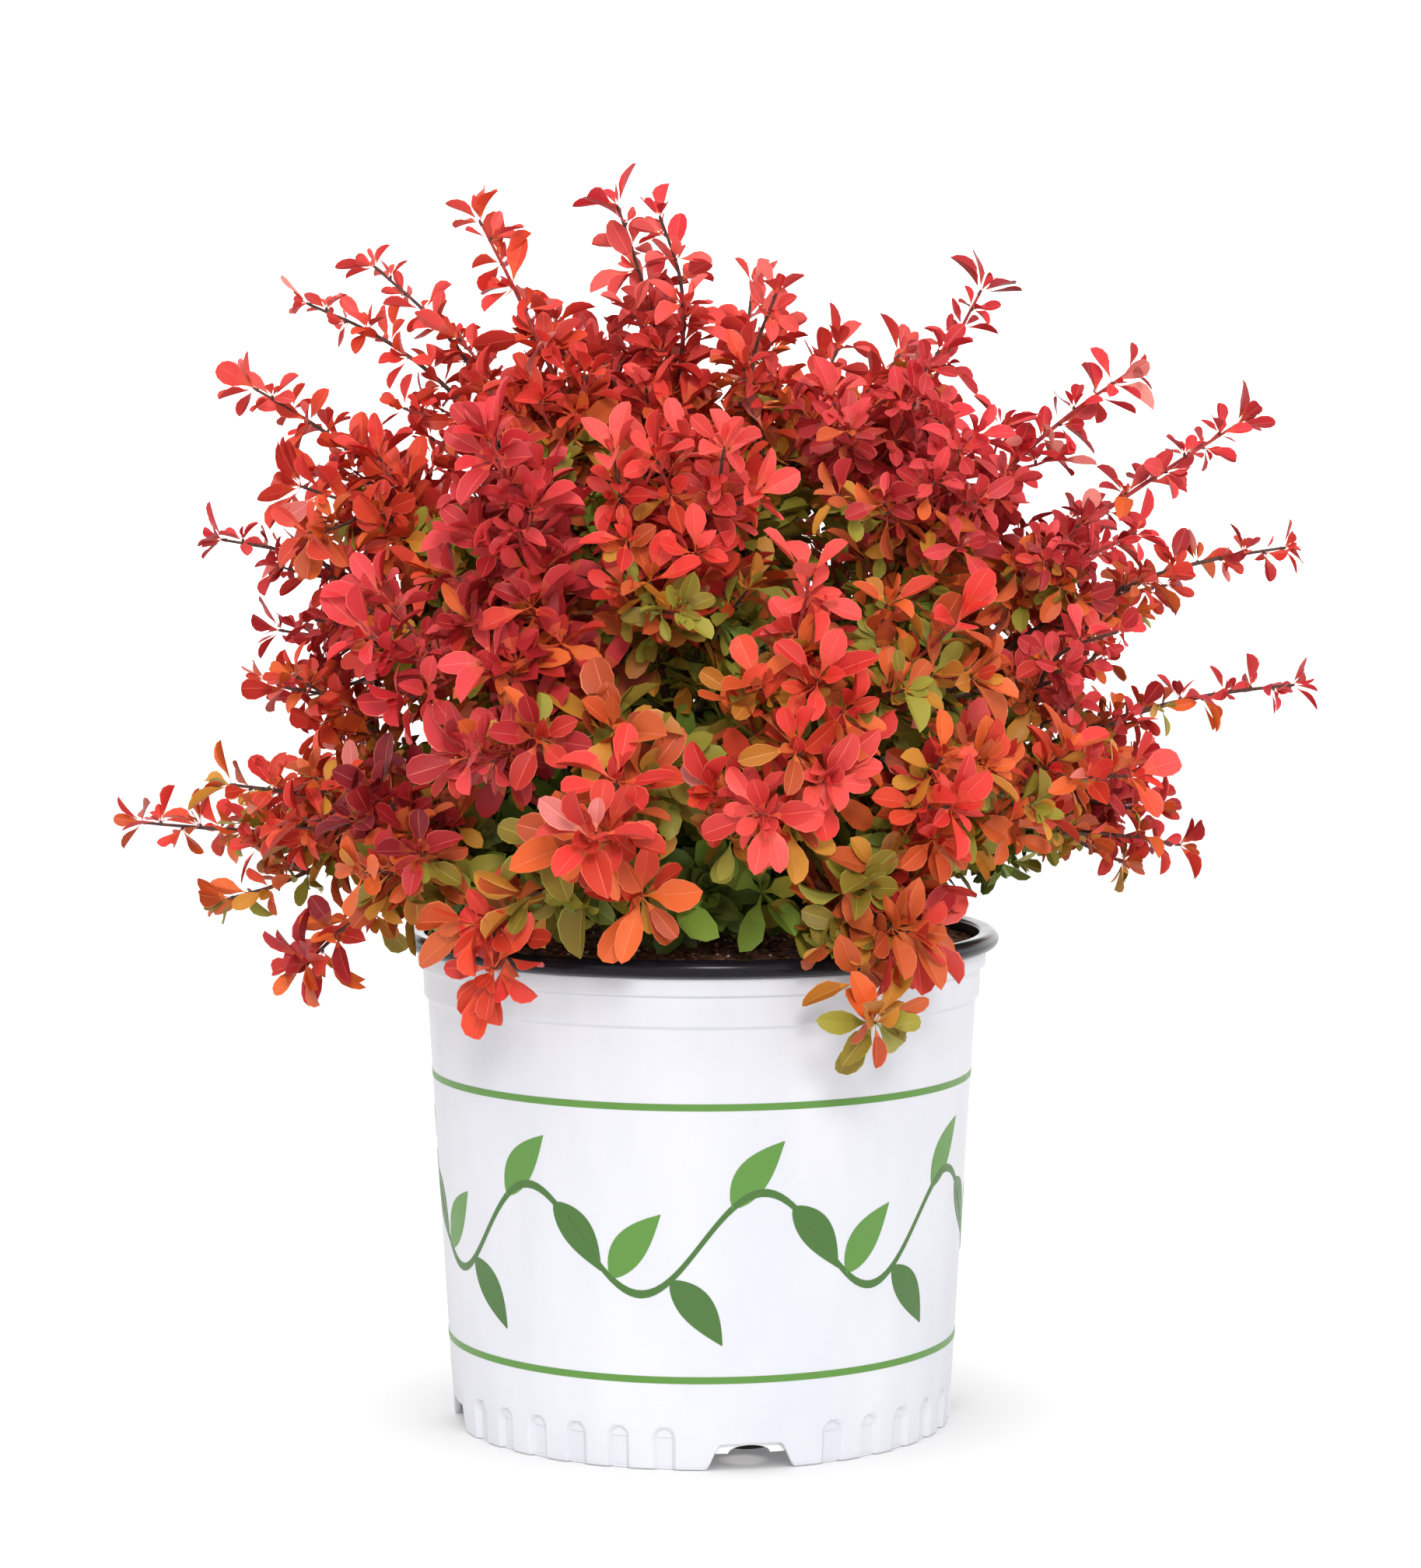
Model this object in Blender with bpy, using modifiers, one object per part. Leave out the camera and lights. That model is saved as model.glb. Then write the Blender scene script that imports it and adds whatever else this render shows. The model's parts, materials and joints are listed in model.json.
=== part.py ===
"""A potted Japanese barberry: a nursery pot with its lip and soil, a root crown, canes and leafy masses.

Metres, +Z up. The origin is the centre of the pot's underside, and the front is towards -Y.
"""

import math
import random

import bmesh
import bpy
import numpy as np
from mathutils import Matrix, Vector
from mathutils.bvhtree import BVHTree

OBJECT_NAME = "potted_barberry"
CLEARANCE = 0.0003
JOINT_GAP = 0.0005
ROUND_STEPS = 40

# Pot: outer radii and heights of its bands, taper and foot
LIP_RADIUS = 0.1150
LIP_TOP = 0.1910
LIP_BOTTOM = 0.1843
LIP_INNER_RADIUS = 0.1073
LIP_SKIRT_WALL = 0.0010
LIP_SKIRT_BOTTOM = 0.1800
UPPER_BAND_RADIUS = 0.1102
UPPER_BAND_BOTTOM = 0.1775
LOWER_BAND_RADIUS = 0.1080
COLLAR_BOTTOM = 0.1660
BODY_TOP_RADIUS = 0.1062
FOOT_RADIUS = 0.0966
POT_WALL = 0.0016
BAND_CHAMFER = 0.0012
FOOT_RING_WALL = 0.0024
FLOOR_UNDERSIDE = 0.0100
FLOOR_TOP = 0.0120

# Foot: flutes between four notches, each notch with a drain hole behind it
QUADRANT = 90.0
FIRST_NOTCH_AZIMUTH = 11.0
NOTCH_FOOT_WIDTH = 0.034
NOTCH_TOP_WIDTH = 0.024
NOTCH_HEIGHT = 0.0092
FLUTE_OFFSETS = (-25.8, -15.5, -5.2, 5.2, 15.5, 25.8)
FLUTE_WIDTH = 0.0076
FLUTE_HEIGHT = 0.0140
FLUTE_DEPTH = 0.0009
DRAIN_RING_RADIUS = 0.078
DRAIN_RADIUS = 0.0075
CUTTER_REACH = 0.005

# Potting soil, a low mound
SOIL_CENTRE_TOP = 0.1900
SOIL_EDGE_TOP = 0.1862
SOIL_FLAT_RADIUS = 0.026

# Root crown, the short woody foot from which every cane leaves
CROWN_RADIUS = 0.0210
CROWN_FLARE = 0.0016
CROWN_STEPS = 16
CROWN_RINGS = 5

# Canes and shoots
CANE_FOOT_RADIUS = 0.0024
CANE_END_RADIUS = 0.0018
SHOOT_FOOT_RADIUS = 0.00180
SHOOT_TIP_RADIUS = 0.00120
BOUGH_SHARE = 0.30
FIRST_HANDLE = 0.40
LAST_HANDLE = 0.34
SIDE_HANDLE = 0.36
LEAST_START_RISE = 20.0
MOST_START_RISE = 84.0
START_LIFT = 10.0
LEAST_START_ANGLE = 20.5
SPREAD_ROUNDS = 300
LIMB_POINTS = 4
SHOOT_STEP = 0.034
PROBE_STEP = 0.004

# Leaves and twigs of the solids: fewer than on the plant, and larger than life
LEAF_LENGTH = 0.0390
LEAF_WIDTH = 0.0205
LEAF_THICKNESS = 0.0015
TIP_LEAF_LENGTH = 0.0290
LEAF_ROOT_DEPTH = 0.0004
TIP_LEAF_ROOT_DEPTH = 0.0030
LEAF_SHRINKS = (1.0, 0.85, 0.7, 0.6)
LEAF_TRIES = 12
LEAVES_A_SEAT = 2
PAIR_STEP = 0.0045
SEAT_STEP = 0.0600
SKIRT_SEAT_STEP = 0.0200
SEAT_FOOT_SHARE = 0.10
TIP_WHORL_BACK = 0.008
OPEN_SPREAD = (42.0, 66.0)
CLOSE_SPREAD = (20.0, 38.0)
GOLDEN_ANGLE = 137.5
TWIG_STEP = 0.090
TWIG_LENGTH = 0.030
TWIG_SPREAD = 48.0
TWIG_RADIUS = 0.0013
TWIG_TRIES = 6

# Space that each mass keeps to
SPACE_MARGIN = 0.0030
LIMB_MARGIN = 0.0045
POT_MARGIN = 0.0025
HALF_WIDTH = 0.2370
HALF_DEPTH = 0.2000
TOP_HEIGHT = 0.4825
SEED = 41

# Each cane: the place of its outermost leaf tip, as azimuth from the front towards +X in degrees, reach from
# the pot's axis and height; the rise of its tip in degrees; then its side shoots, each with the share of the
# cane at which it leaves, its own place and its own rise.
CANES = {
    "top_left": ((-100, 0.038, 0.4825), 70, [(0.62, (-45, 0.030, 0.476), 60)]),
    "top_left_outer": ((-77, 0.093, 0.4745), 62, [(0.62, (-100, 0.105, 0.430), 50)]),
    "left_upper": ((-107, 0.146, 0.4560), 38, [(0.60, (-93, 0.166, 0.437), 22)]),
    "left_shoulder": ((-87, 0.184, 0.4060), 30, [(0.60, (-74, 0.170, 0.366), 18)]),
    "left_long": ((-83, 0.198, 0.3430), 8, [(0.55, (-100, 0.183, 0.307), 8)]),
    "left_low": ((-74, 0.198, 0.2520), 8, [(0.50, (-88, 0.175, 0.285), 6)]),
    "left_lowest": ((-100.8, 0.2413, 0.2290), 4, [(0.55, (-89, 0.197, 0.199), -14)]),
    "left_droop": ((-67, 0.171, 0.1740), -42, [(0.50, (-46, 0.184, 0.224), 2)]),
    "front_left": ((-35, 0.137, 0.3920), 66, [(0.50, (-30, 0.178, 0.270), 10), (0.55, (-52, 0.165, 0.315), 30)]),
    "front_top": ((-17, 0.116, 0.3850), 58, [(0.60, (4, 0.125, 0.385), 40)]),
    "front_low": ((-11.5, 0.2041, 0.2430), 4, [(0.55, (-31, 0.155, 0.180), -38)]),
    "front_upright": ((17, 0.140, 0.3420), 58, [(0.50, (8, 0.180, 0.249), 4), (0.55, (38, 0.160, 0.322), 36)]),
    "front_right": ((57, 0.200, 0.2580), 4, [(0.50, (32, 0.182, 0.250), 4)]),
    "front_droop": ((25, 0.156, 0.1590), -50, [(0.62, (34, 0.150, 0.196), -20)]),
    "right_top": ((90, 0.114, 0.4490), 62, [(0.62, (62, 0.110, 0.423), 50)]),
    "right_top_inner": ((112, 0.063, 0.4280), 66, [(0.62, (60, 0.040, 0.447), 62)]),
    "right_upper": ((83, 0.176, 0.4130), 34, [(0.58, (49, 0.143, 0.389), 40)]),
    "right_shoulder": ((93, 0.220, 0.3930), 32, [(0.60, (70, 0.185, 0.350), 24)]),
    "right_long": ((86, 0.2375, 0.3400), 8, [(0.60, (100, 0.200, 0.325), 10)]),
    "right_low": ((79.2, 0.2412, 0.2885), 6, [(0.50, (60, 0.190, 0.312), 14)]),
    "right_lowest": ((91, 0.200, 0.2200), -10, [(0.50, (104, 0.176, 0.236), 4)]),
    "back_right": ((128, 0.208, 0.3050), 12, [(0.52, (113, 0.205, 0.238), 2), (0.60, (138, 0.170, 0.372), 36)]),
    "back_middle": ((170, 0.2031, 0.3300), 14, [(0.52, (152, 0.195, 0.275), 6), (0.60, (-168, 0.150, 0.392), 42)]),
    "back_left": ((-130, 0.208, 0.3200), 14, [(0.52, (-148, 0.198, 0.262), 4), (0.60, (-120, 0.165, 0.385), 40)]),
    "back_low": ((177, 0.195, 0.2250), -6, [(0.50, (150, 0.192, 0.216), -8), (0.50, (-152, 0.190, 0.212), -8)]),
    "back_top": ((165, 0.085, 0.4550), 64, [(0.60, (-150, 0.110, 0.432), 52), (0.60, (130, 0.112, 0.425), 50)]),
}
# Short leafy shoots that fill the foot of the plant, given in the same way
SKIRTS = {
    "front": ((-8, 0.108, 0.213), 4, [(0.45, (-38, 0.100, 0.214), 4), (0.45, (14, 0.104, 0.214), 4)]),
    "right": ((62, 0.110, 0.216), 6, [(0.45, (40, 0.102, 0.215), 4), (0.45, (88, 0.108, 0.222), 8)]),
    "back": ((142, 0.110, 0.216), 6, [(0.45, (118, 0.106, 0.216), 6), (0.45, (162, 0.108, 0.214), 4)]),
    "left": ((-124, 0.110, 0.216), 6, [(0.45, (-112, 0.112, 0.214), 4), (0.45, (-146, 0.108, 0.216), 6)]),
}

# Leaf colours from the foot of the crown to its top, each up to a height
TINTS = (
    ("leaf_green", 0.236, (0.20, 0.26, 0.05)),
    ("leaf_orange", 0.285, (0.62, 0.20, 0.05)),
    ("leaf_scarlet", 0.370, (0.66, 0.07, 0.05)),
    ("leaf_coral", 1.000, (0.74, 0.11, 0.09)),
)


def material(name, colour, roughness):
    """A plain dielectric material, made once."""
    found = bpy.data.materials.get(name)
    if found:
        return found
    made = bpy.data.materials.new(name)
    made.use_nodes = True
    shader = made.node_tree.nodes["Principled BSDF"]
    shader.inputs["Base Color"].default_value = (*colour, 1.0)
    shader.inputs["Roughness"].default_value = roughness
    shader.inputs["Metallic"].default_value = 0.0
    made.diffuse_color = (*colour, 1.0)
    return made


def new_collection(name):
    made = bpy.data.collections.new(name)
    bpy.context.scene.collection.children.link(made)
    return made


def add_object(name, mesh, collection, surface=None):
    obj = bpy.data.objects.new(name, mesh)
    collection.objects.link(obj)
    if surface:
        mesh.materials.append(surface)
    return obj


def mesh_from(shape, name):
    """A mesh from a bmesh, which is freed."""
    mesh = bpy.data.meshes.new(name)
    shape.to_mesh(mesh)
    shape.free()
    return mesh


def turned(name, profile, steps, collection, surface):
    """A solid of revolution. Its profile runs down the outer side, from axis to axis or as a closed loop."""
    shape = bmesh.new()
    points = [shape.verts.new((radius, 0, height)) for radius, height in profile]
    followers = points[1:]
    if profile[0][0] > 0:
        followers.append(points[0])
    for first, second in zip(points, followers):
        shape.edges.new((first, second))
    obj = add_object(name, mesh_from(shape, name), collection, surface)
    screw = obj.modifiers.new("turn", "SCREW")
    screw.axis = "Z"
    screw.steps = steps
    screw.render_steps = steps
    screw.use_merge_vertices = True
    screw.merge_threshold = 0.00001
    screw.use_smooth_shade = False
    return obj


def cut(obj, cutter):
    boolean = obj.modifiers.new("cut_" + cutter.name, "BOOLEAN")
    boolean.operation = "DIFFERENCE"
    boolean.solver = "EXACT"
    boolean.object = cutter


def body_radius(height):
    """Outer radius of the pot's tapering body."""
    return FOOT_RADIUS + (BODY_TOP_RADIUS - FOOT_RADIUS) * height / COLLAR_BOTTOM


def turn_about_z(azimuth):
    """Turns a shape made at the front, towards -Y, to an azimuth in degrees towards +X."""
    return Matrix.Rotation(math.radians(azimuth), 4, "Z")


def place(azimuth, reach, height):
    angle = math.radians(azimuth)
    return Vector((reach * math.sin(angle), -reach * math.cos(angle), height))


def notch_cutter(azimuth):
    """A wedge through the foot's wall, wider at the floor."""
    shape = bmesh.new()
    bmesh.ops.create_cube(shape, size=1)
    slope = (NOTCH_FOOT_WIDTH - NOTCH_TOP_WIDTH) / NOTCH_HEIGHT
    for vert in shape.verts:
        height = NOTCH_HEIGHT if vert.co.z > 0 else -CUTTER_REACH
        half_width = (NOTCH_FOOT_WIDTH - slope * height) / 2
        vert.co.x = math.copysign(half_width, vert.co.x)
        vert.co.y = -FOOT_RADIUS + math.copysign(2 * CUTTER_REACH, vert.co.y)
        vert.co.z = height
    shape.transform(turn_about_z(azimuth))
    return shape


def drain_cutter(azimuth):
    shape = bmesh.new()
    bmesh.ops.create_cone(
        shape, cap_ends=True, segments=8, radius1=DRAIN_RADIUS, radius2=DRAIN_RADIUS,
        depth=FLOOR_TOP - FLOOR_UNDERSIDE + 2 * CUTTER_REACH,
    )
    middle = (FLOOR_TOP + FLOOR_UNDERSIDE) / 2
    shape.transform(turn_about_z(azimuth) @ Matrix.Translation((0, -DRAIN_RING_RADIUS, middle)))
    return shape


def flute_cutter(azimuth):
    """A six-sided block lying across the foot's outer face, drawn out below the floor."""
    shape = bmesh.new()
    bmesh.ops.create_cone(
        shape, cap_ends=True, segments=6, radius1=FLUTE_WIDTH / 2, radius2=FLUTE_WIDTH / 2,
        depth=2 * CUTTER_REACH,
    )
    shape.transform(Matrix.Rotation(math.radians(90), 4, "X"))
    flat_top = FLUTE_WIDTH / 2 * math.cos(math.radians(30))
    for vert in shape.verts:
        if vert.co.z < -flat_top / 2:
            vert.co.z = -CUTTER_REACH
        else:
            vert.co.z += FLUTE_HEIGHT - flat_top
    face = body_radius(FLUTE_HEIGHT / 2) - FLUTE_DEPTH
    shape.transform(turn_about_z(azimuth) @ Matrix.Translation((0, -face - CUTTER_REACH, 0)))
    return shape


def build_foot_cutter(cutters):
    """The flutes, notches and drain holes, which lie apart, as one cutter."""
    joined = bmesh.new()
    for quarter in range(4):
        notch = FIRST_NOTCH_AZIMUTH + quarter * QUADRANT
        shapes = [notch_cutter(notch), drain_cutter(notch)]
        for offset in FLUTE_OFFSETS:
            shapes.append(flute_cutter(notch + QUADRANT / 2 + offset))
        for shape in shapes:
            joined.from_mesh(mesh_from(shape, "cutter_part"))
    bmesh.ops.recalc_face_normals(joined, faces=joined.faces)
    cutter = add_object("foot_cutter", mesh_from(joined, "foot_cutter"), cutters)
    cutter.hide_render = True
    cutter.display_type = "WIRE"
    return cutter


def build_pot(parts, cutters):
    white = material("pot_white", (0.86, 0.87, 0.88), 0.38)
    profile = (
        (0, FLOOR_TOP),
        (body_radius(FLOOR_TOP) - POT_WALL, FLOOR_TOP),
        (BODY_TOP_RADIUS - POT_WALL, COLLAR_BOTTOM),
        (LOWER_BAND_RADIUS - POT_WALL, COLLAR_BOTTOM + BAND_CHAMFER),
        (LOWER_BAND_RADIUS - POT_WALL, UPPER_BAND_BOTTOM),
        (UPPER_BAND_RADIUS - POT_WALL, UPPER_BAND_BOTTOM + BAND_CHAMFER),
        (UPPER_BAND_RADIUS - POT_WALL, LIP_BOTTOM - CLEARANCE),
        (UPPER_BAND_RADIUS, LIP_BOTTOM - CLEARANCE),
        (UPPER_BAND_RADIUS, UPPER_BAND_BOTTOM),
        (LOWER_BAND_RADIUS, UPPER_BAND_BOTTOM - BAND_CHAMFER),
        (LOWER_BAND_RADIUS, COLLAR_BOTTOM),
        (BODY_TOP_RADIUS, COLLAR_BOTTOM - BAND_CHAMFER),
        (FOOT_RADIUS, 0),
        (FOOT_RADIUS - FOOT_RING_WALL, 0),
        (FOOT_RADIUS - FOOT_RING_WALL, FLOOR_UNDERSIDE),
        (0, FLOOR_UNDERSIDE),
    )
    pot = turned("pot", profile, ROUND_STEPS, parts, white)
    cut(pot, build_foot_cutter(cutters))


def build_lip(parts):
    """The rolled rim, with a short skirt inside the pot's wall."""
    black = material("lip_black", (0.012, 0.012, 0.014), 0.22)
    middle = (LIP_TOP + LIP_BOTTOM) / 2
    half_height = (LIP_TOP - LIP_BOTTOM) / 2
    outer_middle = LIP_RADIUS - half_height
    roll = []
    for step in range(5):
        angle = math.radians(90 - 45 * step)
        roll.append((outer_middle + half_height * math.cos(angle), middle + half_height * math.sin(angle)))
    skirt_outer = LIP_INNER_RADIUS + LIP_SKIRT_WALL
    profile = [(LIP_INNER_RADIUS, LIP_TOP - BAND_CHAMFER), *roll]
    profile += [(skirt_outer, LIP_BOTTOM), (skirt_outer, LIP_SKIRT_BOTTOM), (LIP_INNER_RADIUS, LIP_SKIRT_BOTTOM)]
    turned("pot_lip", profile, ROUND_STEPS, parts, black)


def build_soil(parts):
    brown = material("potting_soil", (0.045, 0.024, 0.016), 0.95)
    edge = LIP_INNER_RADIUS - CLEARANCE
    lower_band_inner = LOWER_BAND_RADIUS - POT_WALL - CLEARANCE
    body_inner = BODY_TOP_RADIUS - POT_WALL - CLEARANCE
    foot_inner = body_radius(FLOOR_TOP) - POT_WALL - CLEARANCE
    profile = (
        (0, SOIL_CENTRE_TOP),
        (SOIL_FLAT_RADIUS, SOIL_CENTRE_TOP),
        (edge, SOIL_EDGE_TOP),
        (edge, LIP_SKIRT_BOTTOM),
        (lower_band_inner, UPPER_BAND_BOTTOM),
        (lower_band_inner, COLLAR_BOTTOM + BAND_CHAMFER),
        (body_inner, COLLAR_BOTTOM),
        (foot_inner, FLOOR_TOP + CLEARANCE),
        (0, FLOOR_TOP + CLEARANCE),
    )
    turned("potting_soil", profile, ROUND_STEPS, parts, brown)


def crown_centre():
    return Vector((0, 0, SOIL_CENTRE_TOP + CLEARANCE))


def build_root_crown(parts):
    """A short woody dome, cut flat at the soil, with a slight flare."""
    bark = material("old_bark", (0.085, 0.050, 0.035), 0.85)
    foot = crown_centre().z
    profile = []
    for ring in range(CROWN_RINGS):
        angle = math.radians(90 - ring * 80 / (CROWN_RINGS - 1))
        profile.append((CROWN_RADIUS * math.cos(angle), foot + CROWN_RADIUS * math.sin(angle)))
    profile[0] = (0, foot + CROWN_RADIUS)
    profile += [(CROWN_RADIUS + CROWN_FLARE, foot), (0, foot)]
    turned("root_crown", profile, CROWN_STEPS, parts, bark)


def rise_of(direction):
    return math.degrees(math.asin(max(-1.0, min(1.0, direction.normalized().z))))


def heading(azimuth, rise):
    """Unit vector at an azimuth, rising by an angle in degrees."""
    angle = math.radians(rise)
    return place(azimuth, math.cos(angle), math.sin(angle))


def azimuth_of(vector):
    return math.degrees(math.atan2(vector.x, -vector.y))


def bezier(start, first, second, end, count):
    points = []
    for step in range(count):
        t = step / (count - 1)
        points.append(
            start * (1 - t) ** 3 + first * 3 * t * (1 - t) ** 2 + second * 3 * t * t * (1 - t) + end * t ** 3
        )
    return points


def resampled(points, count):
    """The same path with its points evenly spaced."""
    lengths = [0.0]
    for first, second in zip(points, points[1:]):
        lengths.append(lengths[-1] + (second - first).length)
    even = []
    for step in range(count):
        wanted = lengths[-1] * step / (count - 1)
        index = next(i for i in range(1, len(points)) if lengths[i] >= wanted - 1e-9)
        share = (wanted - lengths[index - 1]) / (lengths[index] - lengths[index - 1])
        even.append(points[index - 1].lerp(points[index], share))
    return even


def path_length(points):
    return sum((second - first).length for first, second in zip(points, points[1:]))


def point_at(points, share):
    """Place and direction at a share of the path's length."""
    wanted = share * path_length(points)
    for first, second in zip(points, points[1:]):
        step = (second - first).length
        if wanted <= step or second is points[-1]:
            return first.lerp(second, min(1.0, wanted / step)), (second - first).normalized()
        wanted -= step


def spread(directions):
    """Turns the first directions apart until no two canes leave the root crown too close together."""
    least = math.radians(LEAST_START_ANGLE)
    for _ in range(SPREAD_ROUNDS):
        for i, first in enumerate(directions):
            for second in directions[:i]:
                angle = first.angle(second)
                if angle < least:
                    push = (first - second).normalized() * (least - angle) / 2
                    first += push
                    second -= push
        for direction in directions:
            rise = max(LEAST_START_RISE, min(MOST_START_RISE, rise_of(direction)))
            direction.xyz = heading(azimuth_of(direction), rise)
    return directions


def cane_path(direction, tip_place, tip_rise):
    """A smooth arch from the root crown to the foot of the cane's tip leaf."""
    centre = crown_centre()
    start = centre + direction * (CROWN_RADIUS + CLEARANCE)
    tip_heading = heading(tip_place[0], tip_rise)
    end = place(*tip_place) - tip_heading * (TIP_LEAF_LENGTH - TIP_LEAF_ROOT_DEPTH)
    span = (end - start).length
    curve = bezier(start, start + direction * span * FIRST_HANDLE, end - tip_heading * span * LAST_HANDLE, end, 40)
    return resampled(curve, 60)


def side_path(stem, share, tip_place, tip_rise):
    """A side shoot from a point on a stem to the foot of its tip leaf."""
    start, stem_heading = point_at(stem, share)
    tip_heading = heading(tip_place[0], tip_rise)
    end = place(*tip_place) - tip_heading * (TIP_LEAF_LENGTH - TIP_LEAF_ROOT_DEPTH)
    span = (end - start).length
    away = ((end - start).normalized() + stem_heading).normalized()
    curve = bezier(start, start + away * span * SIDE_HANDLE, end - tip_heading * span * SIDE_HANDLE, end, 24)
    return resampled(curve, 24)


class Mass:
    """A cane's limb and the shoots, twigs and leaves past its end, or a skirt without a limb."""

    def __init__(self, name, direction, entry, has_limb):
        tip_place, tip_rise, sides = entry
        self.name = name
        whole = cane_path(direction, tip_place, tip_rise)
        self.limb = []
        stem = whole
        if has_limb:
            split = round(len(whole) * BOUGH_SHARE)
            self.limb = whole[: split + 1]
            stem = whole[split:]
            stem[0] = stem[0] + (stem[1] - stem[0]).normalized() * JOINT_GAP
        stem = shoot_points(stem)
        self.shoots = [stem]
        for share, side_place, side_rise in sides:
            share_on_stem = share
            if has_limb:
                share_on_stem = (share - BOUGH_SHARE) / (1 - BOUGH_SHARE)
            self.shoots.append(shoot_points(side_path(stem, share_on_stem, side_place, side_rise)))
        self.twigs = []
        self.leaves = []


def shoot_points(path):
    """The few points that a shoot is drawn with, from which its leaves grow too."""
    return resampled(path, max(2, round(path_length(path) / SHOOT_STEP) + 1))


def probes_along(points):
    """Points along a path, close enough together to measure distances from."""
    return resampled(points, max(2, round(path_length(points) / PROBE_STEP) + 1))


class Crown:
    """Every mass with the space it keeps to: the region nearer to its own shoots than to any other's."""

    def __init__(self, masses):
        self.masses = masses
        places = []
        owners = []
        limbs = []
        for index, mass in enumerate(masses):
            for path, is_limb in [(mass.limb, True)] * bool(mass.limb) + [(shoot, False) for shoot in mass.shoots]:
                for probe in probes_along(path):
                    places.append(probe)
                    owners.append(index)
                    limbs.append(is_limb)
        self.places = np.array(places)
        self.owners = np.array(owners)
        self.limbs = np.array(limbs)

    def add(self, index, points):
        probes = np.array(probes_along(points))
        self.places = np.concatenate([self.places, probes])
        self.owners = np.concatenate([self.owners, np.full(len(probes), index)])
        self.limbs = np.concatenate([self.limbs, np.zeros(len(probes), bool)])

    def holds(self, index, probes):
        """Whether these points lie in a mass's space, clear of limbs, root crown and pot."""
        distance = np.linalg.norm(probes[:, None, :] - self.places[None, :, :], axis=2)
        own = self.owners == index
        nearest_own = distance[:, own & ~self.limbs].min(axis=1)
        nearest_other = distance[:, ~own].min(axis=1)
        if (nearest_own + SPACE_MARGIN > nearest_other).any():
            return False
        own_limb = distance[:, own & self.limbs]
        if own_limb.size and own_limb.min() < LIMB_MARGIN:
            return False
        return clear_of_foot(probes) and in_envelope(probes)


def clear_of_foot(probes):
    """Whether points clear the root crown, the soil, the lip and the pot's outside."""
    from_crown = np.linalg.norm(probes - np.array(crown_centre()), axis=1)
    if (from_crown < CROWN_RADIUS + POT_MARGIN).any():
        return False
    radius = np.hypot(probes[:, 0], probes[:, 1])
    height = probes[:, 2]
    outside = radius > LIP_RADIUS + POT_MARGIN
    above_lip = height > LIP_TOP + POT_MARGIN
    above_soil = (radius < LIP_INNER_RADIUS - POT_MARGIN) & (height > SOIL_CENTRE_TOP + POT_MARGIN)
    return bool((outside | above_lip | above_soil).all())


def in_envelope(probes):
    return bool(
        (np.abs(probes[:, 0]) < HALF_WIDTH).all()
        and (np.abs(probes[:, 1]) < HALF_DEPTH).all()
        and (probes[:, 2] < TOP_HEIGHT).all()
    )


# Outline of a leaf of unit length and width, from its root round its blunt end
LEAF_OUTLINE = ((0.0, 0.0), (0.58, 0.5), (1.0, 0.17), (1.0, -0.17), (0.58, -0.5))
LEAF_RIDGE = 0.20


def leaf_shape():
    """A spoon-shaped leaf of unit size, flat below and thickest near its root."""
    shape = bmesh.new()
    for along, across in LEAF_OUTLINE:
        shape.verts.new((along, across, 0))
    shape.verts.new((LEAF_RIDGE, 0, 1))
    bmesh.ops.convex_hull(shape, input=shape.verts)
    mesh = mesh_from(shape, "leaf_shape")
    mesh.use_fake_user = True
    return mesh


def leaf_probes():
    """Points over the unit leaf, apart from its root."""
    probes = []
    for index, (along, across) in enumerate(LEAF_OUTLINE):
        after = LEAF_OUTLINE[(index + 1) % len(LEAF_OUTLINE)]
        probes.append((along, across, 0, 1))
        probes.append(((along + after[0]) / 2, (across + after[1]) / 2, 0, 1))
    return np.array([probe for probe in probes if probe[0] > 0.2])


# The part of the unit leaf that clears its own shoot, to test what crosses it
BLADE = ((0.12, 0.10), (0.58, 0.5), (1.0, 0.17), (1.0, -0.17), (0.58, -0.5), (0.12, -0.10))


def blade_tree(matrix):
    corners = [matrix @ Vector((along, across, 0)) for along, across in BLADE]
    return BVHTree.FromPolygons(corners, [tuple(range(len(corners)))])


def path_tree(points):
    """A narrow strip along a path, to test what crosses it."""
    corners = []
    faces = []
    for first, second in zip(points, points[1:]):
        side = (second - first).orthogonal().normalized() * SHOOT_TIP_RADIUS
        faces.append((len(corners), len(corners) + 1, len(corners) + 2))
        corners += [first - side, first + side, second]
    return BVHTree.FromPolygons(corners, faces)


def frame(along, normal, origin):
    """A matrix whose X is along and whose Z is as near the normal as it can be."""
    x_axis = along.normalized()
    y_axis = normal.cross(x_axis).normalized()
    z_axis = x_axis.cross(y_axis)
    turn = Matrix((x_axis, y_axis, z_axis)).transposed().to_4x4()
    return Matrix.Translation(origin) @ turn


def leaf_matrix(seat, axis, spread_angle, round_angle, length, depth):
    """Places a leaf that leaves a shoot at a seat, its upper face towards the shoot's tip."""
    side = axis.orthogonal().normalized()
    side.rotate(Matrix.Rotation(round_angle, 3, axis))
    along = axis * math.cos(spread_angle) + side * math.sin(spread_angle)
    face = axis * math.sin(spread_angle) - side * math.cos(spread_angle)
    size = Matrix.Diagonal((length, length * LEAF_WIDTH / LEAF_LENGTH, LEAF_THICKNESS, 1))
    return frame(along, face, seat - along * depth) @ size


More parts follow.
